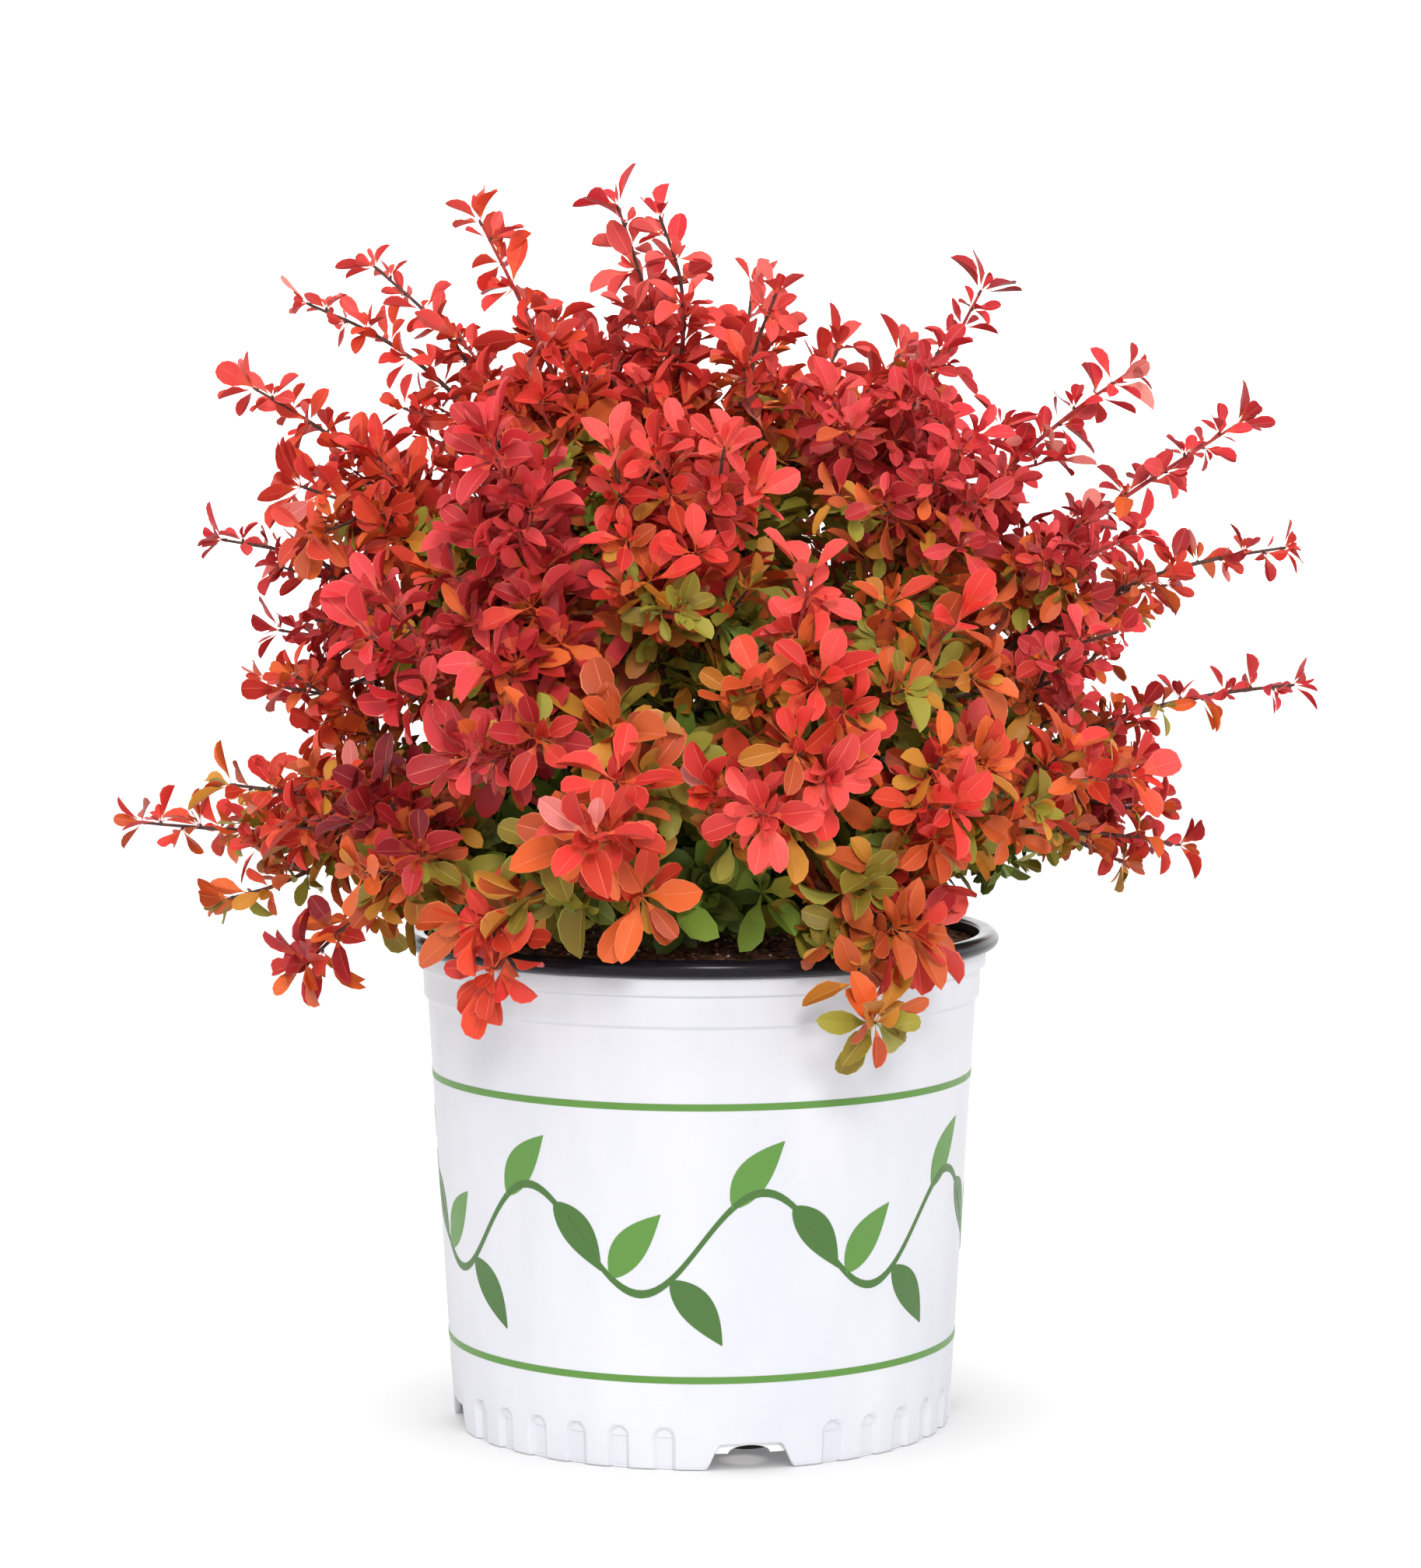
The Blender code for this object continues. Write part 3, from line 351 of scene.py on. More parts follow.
# Each cane: the place of its outermost leaf tip, as azimuth, reach from the pot's axis and height; its tip's
# rise; then its side shoots, each with the share of the cane at which it leaves, its place and its rise
CANES = {
    "top_left": ((-100, 0.038, 0.4825), 70, [(0.62, (-45, 0.030, 0.476), 60)]),
    "top_left_outer": ((-77, 0.093, 0.4745), 62, [(0.62, (-100, 0.105, 0.430), 50)]),
    "left_upper": ((-107, 0.146, 0.4560), 38, [(0.60, (-93, 0.166, 0.437), 22)]),
    "left_shoulder": ((-87, 0.184, 0.4060), 30, [(0.60, (-74, 0.170, 0.366), 18)]),
    "left_long": ((-83, 0.198, 0.3430), 8, [(0.55, (-100, 0.183, 0.307), 8)]),
    "left_low": ((-74, 0.198, 0.2520), 8, [(0.50, (-88, 0.175, 0.285), 6)]),
    "left_lowest": ((-100.8, 0.2413, 0.2290), 4, [(0.55, (-89, 0.197, 0.199), -14)]),
    "left_droop": ((-67, 0.171, 0.1740), -42, [(0.50, (-46, 0.184, 0.224), 2)]),
    "front_left": (
        (-35, 0.137, 0.3920), 66, [(0.50, (-30, 0.178, 0.270), 10), (0.55, (-52, 0.165, 0.315), 30)],
    ),
    "front_top": ((-17, 0.116, 0.3850), 58, [(0.60, (4, 0.125, 0.385), 40)]),
    "front_low": ((-11.5, 0.2041, 0.2430), 4, [(0.55, (-31, 0.155, 0.180), -38)]),
    "front_upright": (
        (17, 0.140, 0.3420), 58, [(0.50, (8, 0.180, 0.249), 4), (0.55, (38, 0.160, 0.322), 36)],
    ),
    "front_right": ((57, 0.200, 0.2580), 4, [(0.50, (32, 0.182, 0.250), 4)]),
    "front_droop": ((25, 0.156, 0.1590), -50, [(0.62, (34, 0.150, 0.196), -20)]),
    "right_top": ((90, 0.114, 0.4490), 62, [(0.62, (62, 0.110, 0.423), 50)]),
    "right_top_inner": ((112, 0.063, 0.4280), 66, [(0.62, (60, 0.040, 0.447), 62)]),
    "right_upper": ((83, 0.176, 0.4130), 34, [(0.58, (49, 0.143, 0.389), 40)]),
    "right_shoulder": ((93, 0.220, 0.3930), 32, [(0.60, (70, 0.185, 0.350), 24)]),
    "right_long": ((86, 0.2375, 0.3400), 8, [(0.60, (100, 0.200, 0.325), 10)]),
    "right_low": ((79.2, 0.2412, 0.2885), 6, [(0.50, (60, 0.190, 0.312), 14)]),
    "right_lowest": ((91, 0.200, 0.2200), -10, [(0.50, (104, 0.176, 0.236), 4)]),
    "back_right": (
        (128, 0.208, 0.3050), 12, [(0.52, (113, 0.205, 0.238), 2), (0.60, (138, 0.170, 0.372), 36)],
    ),
    "back_middle": (
        (170, 0.2031, 0.3300), 14, [(0.52, (152, 0.195, 0.275), 6), (0.60, (-168, 0.150, 0.392), 42)],
    ),
    "back_left": (
        (-130, 0.208, 0.3200), 14, [(0.52, (-148, 0.198, 0.262), 4), (0.60, (-120, 0.165, 0.385), 40)],
    ),
    "back_low": (
        (177, 0.195, 0.2250), -6, [(0.50, (150, 0.192, 0.216), -8), (0.50, (-152, 0.190, 0.212), -8)],
    ),
    "back_top": (
        (165, 0.085, 0.4550), 64, [(0.60, (-150, 0.110, 0.432), 52), (0.60, (130, 0.112, 0.425), 50)],
    ),
}
# Short leafy shoots that fill the foot of the plant, given in the same way
SKIRTS = {
    "front": ((-8, 0.108, 0.213), 4, [(0.45, (-38, 0.100, 0.214), 4), (0.45, (14, 0.104, 0.214), 4)]),
    "right": ((62, 0.110, 0.216), 6, [(0.45, (40, 0.102, 0.215), 4), (0.45, (88, 0.108, 0.222), 8)]),
    "back": ((142, 0.110, 0.216), 6, [(0.45, (118, 0.106, 0.216), 6), (0.45, (162, 0.108, 0.214), 4)]),
    "left": ((-124, 0.110, 0.216), 6, [(0.45, (-112, 0.112, 0.214), 4), (0.45, (-146, 0.108, 0.216), 6)]),
}

# Leaf colours as they show in daylight, red, green and blue to 255, each after the record's material slot
LEAF_COLOURS = {
    "dark_green": ("leaf_green", (80, 98, 36)),
    "green": ("leaf_green", (116, 138, 52)),
    "olive": ("leaf_green", (148, 138, 50)),
    "amber": ("leaf_orange", (194, 132, 46)),
    "rust": ("leaf_orange", (188, 86, 43)),
    "orange": ("leaf_orange", (210, 94, 42)),
    "flame": ("leaf_scarlet", (212, 70, 45)),
    "scarlet": ("leaf_scarlet", (213, 57, 49)),
    "coral": ("leaf_coral", (222, 76, 70)),
    "salmon": ("leaf_coral", (224, 92, 86)),
    "brick": ("leaf_scarlet", (198, 58, 46)),
    "crimson": ("leaf_coral", (206, 50, 56)),
    "rose": ("leaf_coral", (206, 63, 66)),
    "dark_red": ("leaf_scarlet", (168, 38, 42)),
    "maroon": ("leaf_scarlet", (124, 24, 32)),
    "blush": ("leaf_coral", (220, 130, 120)),
}
# How ripe a spray is at most in each colour, then the reds of each family of shoots
GREEN_TO_ORANGE = (
    (0.23, "dark_green"), (0.36, "green"), (0.50, "olive"), (0.54, "amber"), (0.58, "rust"), (0.62, "orange"),
)
RED_FAMILIES = {
    "coral": ((0.65, "flame"), (0.74, "scarlet"), (0.96, "coral"), (1.08, "salmon"), (9.0, "crimson")),
    "crimson": ((0.65, "brick"), (0.71, "dark_red"), (0.88, "rose"), (1.04, "crimson"), (9.0, "dark_red")),
    "scarlet": ((0.70, "flame"), (0.75, "brick"), (0.86, "scarlet"), (0.95, "flame"), (9.0, "coral")),
    "dark": ((0.61, "rust"), (0.64, "brick"), (0.70, "dark_red"), (9.0, "maroon")),
    "brick": ((0.66, "rust"), (0.80, "brick"), (0.92, "dark_red"), (9.0, "scarlet")),
}
# What ripens a leaf: how far out, how high and how far along its shoot its spray sits, and how well lit it is
OUTER_WEIGHT = 0.46
HEIGHT_WEIGHT = 0.41
SHARE_WEIGHT = 0.22
LIGHT_WEIGHT = 0.07
SPRAY_WANDER = 0.045
LEAF_WANDER = 0.03
# Patches of riper and less ripe sprays in the crown: their fineness and how strong they are
PATCH_FINENESS = 19.0
PATCH_SHIFT = 0.26
# Tints of a leaf's pale rim and of the zone near its stalk, and how much darker every other leaf is
RED_TINTS = ((244, 150, 122), (212, 120, 40))
GREEN_TINTS = ((176, 178, 86), (146, 158, 62))
SECOND_BLADE_TINT = (0.77, 0.62, 0.64)
DARKER_SHARE = 0.42
BLUSH_SHARE = 0.013
BLUSH_FROM = 0.6

# Each mass whose shoots differ: family of reds, leaf size, size of its end whorls, and how much riper it is
PLAIN_LOOK = ("coral", 1.0, 1.0, 0.0)
LOOKS = {
    "top_left_outer": ("scarlet", 1.05, 1.0, 0.0),
    "left_upper": ("scarlet", 0.80, 1.0, 0.0),
    "left_shoulder": ("scarlet", 0.90, 1.25, 0.0),
    "left_long": ("crimson", 0.86, 1.0, 0.05),
    "left_low": ("scarlet", 0.95, 1.1, 0.05),
    "left_lowest": ("coral", 0.95, 1.0, 0.0),
    "left_droop": ("dark", 1.05, 1.15, 0.05),
    "front_left": ("crimson", 1.10, 1.15, 0.10),
    "front_top": ("coral", 1.0, 1.1, -0.03),
    "front_low": ("scarlet", 1.15, 1.35, 0.03),
    "front_upright": ("coral", 1.05, 1.20, 0.07),
    "front_right": ("coral", 1.0, 1.15, 0.03),
    "front_droop": ("brick", 1.2, 1.15, 0.09),
    "right_top": ("crimson", 0.95, 1.0, 0.0),
    "right_upper": ("crimson", 0.95, 1.0, 0.0),
    "right_shoulder": ("crimson", 0.85, 1.1, 0.0),
    "right_long": ("brick", 0.80, 0.9, 0.05),
    "right_low": ("crimson", 0.85, 1.0, 0.03),
    "right_lowest": ("crimson", 0.90, 1.0, 0.0),
    "skirt_front": ("scarlet", 1.10, 1.2, -0.04),
    "skirt_right": ("scarlet", 1.10, 1.1, -0.10),
    "skirt_back": ("scarlet", 1.10, 1.1, -0.10),
    "skirt_left": ("scarlet", 1.10, 1.1, -0.10),
}
# Masses with the red wood of young shoots
YOUNG_WOOD = {"top_left_outer", "front_left", "front_upright", "right_top", "right_upper", "right_shoulder"}

# Green pattern round the pot: a running stem between two rings, with leaves on both sides of it
PATTERN_LOW = 0.034
PATTERN_HIGH = 0.136
PATTERN_STEPS = 260
PATTERN_RING_WIDTH = 0.0026
PATTERN_WAVES = 7
PATTERN_LEAVES_IN_WAVE = 4
PATTERN_SWING = 0.019
PATTERN_STEM_WIDTH = 0.0030
PATTERN_LEAF_LENGTH = 0.031
PATTERN_LEAF_WIDTH = 0.0125
PATTERN_LEAF_STEPS = 16
PATTERN_LEAF_LEAN = 52
PATTERN_LEAF_BOW = 0.18
PATTERN_LEAF_FULLNESS = 0.9
PATTERN_LEAF_SKEW = 0.8
PATTERN_LEAST_HALF = 0.0002
PATTERN_PROUD = 0.00018
PATTERN_SUNK = 0.00030


def linear(colour):
    """A colour given as it shows, to 255, as the shader's linear numbers."""
    shares = [part / 255 for part in colour]
    return tuple(share / 12.92 if share <= 0.04045 else ((share + 0.055) / 1.055) ** 2.4 for share in shares)


def mixed(first, second, share):
    return tuple(a + (b - a) * share for a, b in zip(first, second))


def set_inputs(node, **values):
    """Sets a node's inputs, each by its name with low lines for the spaces."""
    for name, value in values.items():
        node.inputs[name.replace("_", " ")].default_value = value
    return node


def shader_of(name):
    """A new material, its node tree and its Principled shader."""
    made = bpy.data.materials.new(name)
    made.use_nodes = True
    return made, made.node_tree, made.node_tree.nodes["Principled BSDF"]


def noise_node(tree, scale, detail, stretch=EVEN):
    """Noise over the object's own coordinates."""
    coordinates = tree.nodes.new("ShaderNodeTexCoord")
    mapping = set_inputs(tree.nodes.new("ShaderNodeMapping"), Scale=stretch)
    made = set_inputs(tree.nodes.new("ShaderNodeTexNoise"), Scale=scale, Detail=detail)
    tree.links.new(coordinates.outputs["Object"], mapping.inputs["Vector"])
    tree.links.new(mapping.outputs["Vector"], made.inputs["Vector"])
    return made


def roughen(tree, shader, source, low, high):
    """Roughness that wanders between two values."""
    wander = tree.nodes.new("ShaderNodeMapRange")
    set_inputs(wander, From_Min=0.3, From_Max=0.7, To_Min=low, To_Max=high)
    tree.links.new(source.outputs["Fac"], wander.inputs["Value"])
    tree.links.new(wander.outputs["Result"], shader.inputs["Roughness"])


def emboss(tree, shader, source, strength, depth):
    bump = set_inputs(tree.nodes.new("ShaderNodeBump"), Strength=strength, Distance=depth)
    tree.links.new(source.outputs["Fac"], bump.inputs["Height"])
    tree.links.new(bump.outputs["Normal"], shader.inputs["Normal"])


def colour_ramp(tree, shader, source, stops):
    ramp = tree.nodes.new("ShaderNodeValToRGB")
    elements = ramp.color_ramp.elements
    while len(elements) < len(stops):
        elements.new(0.5)
    for element, (position, colour) in zip(elements, stops):
        element.position = position
        element.color = (*colour, 1.0)
    tree.links.new(source.outputs["Fac"], ramp.inputs["Fac"])
    tree.links.new(ramp.outputs["Color"], shader.inputs["Base Color"])


def plain_material(name, colour, roughness, scale, strength, depth, specular=0.5):
    """One base colour, with roughness between two values, and relief of a scale, strength and depth."""
    made, tree, shader = shader_of(name)
    set_inputs(shader, Base_Color=(*colour, 1.0), Specular_IOR_Level=specular)
    source = noise_node(tree, scale, detail=3.0)
    roughen(tree, shader, source, *roughness)
    emboss(tree, shader, source, strength, depth)
    made.diffuse_color = (*colour, 1.0)
    return made


def mottled_material(name, stops, roughness, scale, strength, depth, stretch=EVEN):
    """Several colours in fine mottling, each at its place in the noise, with roughness and relief."""
    made, tree, shader = shader_of(name)
    source = noise_node(tree, scale, detail=6.0, stretch=stretch)
    colour_ramp(tree, shader, source, stops)
    roughen(tree, shader, source, *roughness)
    emboss(tree, shader, source, strength, depth)
    made.diffuse_color = (*stops[0][1], 1.0)
    return made


def bark_material(name, dark, light, scale):
    dark, light = linear(dark), linear(light)
    stops = ((0.32, dark), (0.52, mixed(dark, light, 0.45)), (0.72, light))
    return mottled_material(name, stops, (0.62, 0.88), scale, 0.55, 0.0006, DRAWN_OUT)


def pot_material():
    """White satin plastic with a soft cloudy gloss."""
    white = linear((198, 199, 205))
    made, tree, shader = shader_of("pot_white")
    set_inputs(shader, Specular_IOR_Level=0.24)
    cloud = noise_node(tree, 26.0, detail=4.0, stretch=DRAWN_OUT)
    colour_ramp(tree, shader, cloud, ((0.30, mixed(white, (0.72, 0.72, 0.74), 0.35)), (0.62, white)))
    roughen(tree, shader, cloud, 0.30, 0.46)
    emboss(tree, shader, noise_node(tree, 1400.0, detail=2.0), 0.10, 0.0004)
    return made


def place(azimuth, reach, height):
    angle = math.radians(azimuth)
    return Vector((reach * math.sin(angle), -reach * math.cos(angle), height))


def rise_of(direction):
    return math.degrees(math.asin(max(-1.0, min(1.0, direction.normalized().z))))


def heading(azimuth, rise):
    """Unit vector at an azimuth, rising by an angle."""
    angle = math.radians(rise)
    return place(azimuth, math.cos(angle), math.sin(angle))


def turned(first, second, angle):
    """The first of two unit vectors that stand square, turned towards the second."""
    return first * math.cos(angle) + second * math.sin(angle)


def side_of(axis, turn):
    """Unit vector square to an axis, at a turn round it."""
    side = axis.orthogonal().normalized()
    side.rotate(Matrix.Rotation(math.radians(turn), 3, axis))
    return side


def bezier(start, first, second, end, count):
    points = []
    for step in range(count):
        t = step / (count - 1)
        points.append(
            start * (1 - t) ** 3 + first * 3 * t * (1 - t) ** 2 + second * 3 * t * t * (1 - t) + end * t ** 3
        )
    return points


def path_length(points):
    return sum((second - first).length for first, second in zip(points, points[1:]))


def resampled(points, count):
    """The same path with its points evenly spaced."""
    lengths = [0.0]
    for first, second in zip(points, points[1:]):
        lengths.append(lengths[-1] + (second - first).length)
    even = []
    for step in range(count):
        wanted = lengths[-1] * step / (count - 1)
        index = next(i for i in range(1, len(points)) if lengths[i] >= wanted - 1e-9)
        share = (wanted - lengths[index - 1]) / (lengths[index] - lengths[index - 1])
        even.append(points[index - 1].lerp(points[index], share))
    return even


def point_at(points, share):
    """Place and direction at a share of the path's length."""
    wanted = share * path_length(points)
    for first, second in zip(points, points[1:]):
        step = (second - first).length
        if wanted <= step or second is points[-1]:
            return first.lerp(second, min(1.0, wanted / step)), (second - first).normalized()
        wanted -= step


def start_direction(tip_place):
    """Where a cane sets off: towards its tip, lifted a little."""
    towards = place(*tip_place) - CROWN_CENTRE
    return heading(tip_place[0], min(MOST_START_RISE, rise_of(towards) + START_LIFT))


def spread(directions):
    """Turns the first directions apart until no two canes leave the root crown too close together."""
    least = math.radians(LEAST_START_ANGLE)
    for _ in range(SPREAD_ROUNDS):
        for i, first in enumerate(directions):
            for second in directions[:i]:
                angle = first.angle(second)
                if angle < least:
                    push = (first - second).normalized() * (least - angle) / 2
                    first += push
                    second -= push
        for direction in directions:
            azimuth = math.degrees(math.atan2(direction.x, -direction.y))
            rise = max(LEAST_START_RISE, min(MOST_START_RISE, rise_of(direction)))
            direction.xyz = heading(azimuth, rise)
    return directions


def tip_seat(tip_place, tip_rise):
    """Where the path to a tip's whorl ends, and its direction there."""
    tip_heading = heading(tip_place[0], tip_rise)
    return place(*tip_place) - tip_heading * TIP_LEAF_REACH, tip_heading


def cane_path(direction, tip_place, tip_rise):
    """A smooth arch from the root crown to the whorl at the cane's tip."""
    start = CROWN_CENTRE + direction * (CROWN_RADIUS + CLEARANCE)
    end, tip_heading = tip_seat(tip_place, tip_rise)
    span = (end - start).length
    first = start + direction * span * FIRST_HANDLE
    second = end - tip_heading * span * LAST_HANDLE
    return resampled(bezier(start, first, second, end, CURVE_STEPS), CANE_STEPS)


def side_path(stem, share, tip_place, tip_rise):
    """A side shoot from a point on a stem to the whorl at its own tip."""
    start, stem_heading = point_at(stem, share)
    end, tip_heading = tip_seat(tip_place, tip_rise)
    span = (end - start).length
    away = ((end - start).normalized() + stem_heading).normalized()
    first = start + away * span * SIDE_HANDLE
    second = end - tip_heading * span * SIDE_HANDLE
    return resampled(bezier(start, first, second, end, SIDE_STEPS), SIDE_STEPS)


def drawn_on(path):
    """A path carried on a little, so that a whorl of small leaves reaches the tip's place."""
    return path + [path[-1] + (path[-1] - path[-2]).normalized() * TIP_WHORL_DRAWN_ON]


class Mass:
    """A cane's bare limb and the leafy shoots past its end, or a skirt, which has no limb."""

    def __init__(self, name, direction, entry, has_limb):
        tip_place, tip_rise, sides = entry
        self.family, self.leaf_size, self.tip_size, self.riper = LOOKS.get(name, PLAIN_LOOK)
        self.young = name in YOUNG_WOOD
        self.wander = 0.0
        stem = cane_path(direction, tip_place, tip_rise)
        self.limb = []
        if has_limb:
            split = round(len(stem) * BOUGH_SHARE)
            self.limb, stem = stem[: split + 1], stem[split:]
        shoots = [stem]
        for share, side_place, side_rise in sides:
            if has_limb:
                share = (share - BOUGH_SHARE) / (1 - BOUGH_SHARE)
            shoots.append(side_path(stem, share, side_place, side_rise))
        self.shoots = [drawn_on(shoot) for shoot in shoots]
        self.leafy_limb = self.limb[round(len(self.limb) * LIMB_BARE_SHARE) :]
        self.branchlets = []
        self.twigs = []
        self.limb_twigs = []


def plan_masses():
    entries = [(name, entry, True) for name, entry in CANES.items()]
    entries += [("skirt_" + name, entry, False) for name, entry in SKIRTS.items()]
    directions = spread([start_direction(entry[0]) for _, entry, _ in entries])
    return [
        Mass(name, direction, entry, has_limb)
        for (name, entry, has_limb), direction in zip(entries, directions)
    ]


def probes_along(points):
    """Points along a path, close enough together to measure distances from."""
    return resampled(points, max(2, round(path_length(points) / PROBE_STEP) + 1))


class Crown:
    """The space that each mass keeps to: the region nearer to its own shoots than to any other's."""

    def __init__(self, masses):
        rows = []
        for index, mass in enumerate(masses):
            for path in mass.shoots:
                rows += [(probe, index) for probe in probes_along(path)]
        for index, mass in enumerate(masses):
            rows += [(probe, index) for probe in mass.leafy_limb]
        places, owners = zip(*rows)
        self.places = np.array(places)
        self.owners = np.array(owners)
        self.limbs = np.array([probe for mass in masses if mass.limb for probe in probes_along(mass.limb)])

    def add(self, index, points):
        probes = np.array(probes_along(points))
        self.places = np.concatenate([self.places, probes])
        self.owners = np.concatenate([self.owners, np.full(len(probes), index)])

    def holds(self, index, probes):
        """Whether these points lie in a mass's space, clear of the pot and the root crown."""
        distance = np.linalg.norm(probes[:, None, :] - self.places[None, :, :], axis=2)
        own = self.owners == index
        if (distance[:, own].min(axis=1) + SPACE_MARGIN > distance[:, ~own].min(axis=1)).any():
            return False
        return bool(clear_of_foot(probes).all() and in_reach(probes).all())


def clear_of_foot(probes):
    """Which points clear the root crown, the soil, the lip and the pot's outside."""
    from_crown = np.linalg.norm(probes - np.array(CROWN_CENTRE), axis=-1)
    radius = np.hypot(probes[..., 0], probes[..., 1])
    height = probes[..., 2]
    outside = radius > LIP_RADIUS + POT_MARGIN
    above_lip = height > LIP_TOP + POT_MARGIN
    above_soil = (radius < LIP_INNER_RADIUS - POT_MARGIN) & (height > SOIL_CENTRE_TOP + POT_MARGIN)
    return (outside | above_lip | above_soil) & (from_crown > CROWN_RADIUS + POT_MARGIN)


def in_reach(probes):
    """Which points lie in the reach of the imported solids, with a little to spare."""
    low = np.array(CAD_LOW) - REACH_SPARE
    high = np.array(CAD_HIGH) + REACH_SPARE
    return ((probes > low) & (probes < high)).all(axis=-1)


def outerness(point):
    """0 at the crown's middle and about 1 at its outside."""
    return math.sqrt(sum(((a - b) / c) ** 2 for a, b, c in zip(point, CROWN_MIDDLE, CROWN_HALF_AXES)))


def branch_from(dice, shoot, share, turn, wanted, angles):
    """A curved branch that leaves a shoot at a share of its length and turns upwards.

    Also whether it hangs too low, and the points along it that have to stay in its mass's space.
    """
    seat, axis = point_at(shoot, share)
    side = side_of(axis, turn)
    angle = math.radians(dice.uniform(*angles))
    first = turned(axis, side, angle)
    last = (first + axis * BRANCH_AHEAD + BRANCH_UP).normalized()
    end = seat + (first + last) * wanted / 2
    branch = bezier(seat, seat + first * wanted / 3, end - last * wanted / 3, end, BRANCH_STEPS)
    hangs = end.z < min(seat.z, LEAST_HANGING_HEIGHT)
    thirds = [branch[BRANCH_STEPS * part // 3] for part in (1, 2)]
    return branch, hangs, np.array([*thirds, end, end + last * LEAF_LENGTH * TIP_ROOM])


def branches_on(index, shoot, crown, dice, step, lengths, angles, most_out):
    """Branches along a shoot, each within its own mass's space."""
    made = []
    turn = dice.uniform(0, 360)
    length = path_length(shoot)
    along_shoot = length * WHORL_FOOT_SHARE + step / 2
    while along_shoot < length * BRANCH_TOP_SHARE:
        share = along_shoot / length
        wanted = dice.uniform(*lengths) * (BRANCH_LENGTH_AT_FOOT - BRANCH_LENGTH_FALL * share)
        for _ in range(BRANCH_TRIES):
            turn += GOLDEN_ANGLE
            branch, hangs, probes = branch_from(dice, shoot, share, turn, wanted, angles)
            if not hangs and outerness(branch[-1]) < most_out and crown.holds(index, probes):
                made.append(branch)
                crown.add(index, branch)
                break
        along_shoot += step
    return made


def grow_branches(masses, crown):
    """Branchlets on every shoot, then twigs on both and on the limbs, dealt out in a seeded order."""
    for index, mass in enumerate(masses):
        dice = random.Random(SEED + index)
        for shoot in mass.shoots:
            mass.branchlets += branches_on(index, shoot, crown, dice, *BRANCHLETS)
    for index, mass in enumerate(masses):
        dice = random.Random(SEED * 3 + index)
        for shoot in mass.shoots + mass.branchlets:
            mass.twigs += branches_on(index, shoot, crown, dice, *TWIGS)
        if mass.limb:
            mass.limb_twigs = branches_on(index, mass.leafy_limb, crown, dice, *LIMB_TWIGS)


class Sprays:
    """What grows on the shoots, kept until it is made into joined meshes.

    A leaf is its root, its direction, the way its upper face looks, its length, width and colour, and whether
    it is drawn finely.
    """

    def __init__(self):
        self.leaves = []
        self.spurs = []
        self.spines = []


def colour_of(mass, ripeness):
    for most, name in GREEN_TO_ORANGE + RED_FAMILIES[mass.family]:
        if ripeness < most:
            return name


def light_from(point):
    """Which way a leaf at this place turns its upper face: upwards and out of the crown."""
    outward = Vector((point.x, point.y, (point.z - CROWN_MIDDLE[2]) * LIGHT_FLATNESS))
    if outward.length > 1e-6:
        outward.normalize()
    return (outward * LIGHT_OUTWARD + LIGHT_UP).normalized()


def grow_whorl(sprays, mass, dice, seat, axis, spur_axis, share, length, count, openings):
    """A spray of leaves round a short spur, each leaf's upper face towards the light."""
    outer = outerness(seat)
    height = (seat.z - LIP_TOP) / (CAD_HIGH.z - LIP_TOP)
    ripeness = OUTER_WEIGHT * outer + HEIGHT_WEIGHT * height + SHARE_WEIGHT * share
    ripeness += mass.riper + mass.wander + dice.gauss(0, SPRAY_WANDER)
    ripeness += PATCH_SHIFT * noise.noise(seat * PATCH_FINENESS)
    fine = outer > FINE_LEAF_FROM
    grown = 1 + INNER_GROWTH * max(0.0, 1 - outer / INNER_END)
    light = light_from(seat)
    first_side = spur_axis.orthogonal().normalized()
    second_side = spur_axis.cross(first_side)
    turn = dice.uniform(0, 2 * math.pi)
    root = seat + spur_axis * SPUR_LENGTH * LEAF_SEAT_SHARE
    for number in range(count):
        inner = number >= count - INNER_COUNT
        around = turn + 2 * math.pi * number / (count - INNER_COUNT) + dice.gauss(0, LEAF_TURN_WANDER)
        opening = math.radians(dice.uniform(*(INNER_OPENINGS if inner else openings)))
        radial = turned(first_side, second_side, around)
        along = turned(spur_axis, radial, opening)
        if openings == SIDE_OPENINGS and along.dot(axis) < MOST_BACKWARD:
            along = (along + axis * TURNED_AHEAD).normalized()
        square = spur_axis * math.sin(opening) - radial * math.cos(opening)
        face = (square + light * dice.uniform(*FACE_TO_LIGHT)).normalized()
        face = (face + along.cross(face) * dice.gauss(0, FACE_TWIST)).normalized()
        if abs(face.dot(along)) > MOST_FACE_TILT:
            face = square
        leaf_length = length * grown * dice.uniform(*LEAF_LENGTH_SHARES)
        if inner:
            leaf_length *= INNER_LEAF_SHARE
        leaf_width = leaf_length * dice.uniform(*LEAF_WIDTH_SHARES)
        lit = LIGHT_WEIGHT * along.dot(light) - (INNER_LESS_RIPE if inner else 0.0)
        leaf_colour = colour_of(mass, ripeness + lit + dice.gauss(0, LEAF_WANDER))
        if ripeness > BLUSH_FROM and dice.random() < BLUSH_SHARE:
            leaf_colour = "blush"
        for _ in range(LEAF_TRIES):
            reach = np.array([root + along * leaf_length * part for part in AIM_PROBES])
            if clear_of_foot(reach).all():
                break
            aside = dice.choice((-1, 1)) * spur_axis.cross(along) * TURNED_ASIDE
            along = (along + aside + light * TURNED_TO_LIGHT).normalized()
            face = (light - along * light.dot(along)).normalized()
        sprays.leaves.append((root, along, face, leaf_length, leaf_width, leaf_colour, fine))
    if outer > SPURS_FROM:
        sprays.spurs.append((seat, spur_axis))


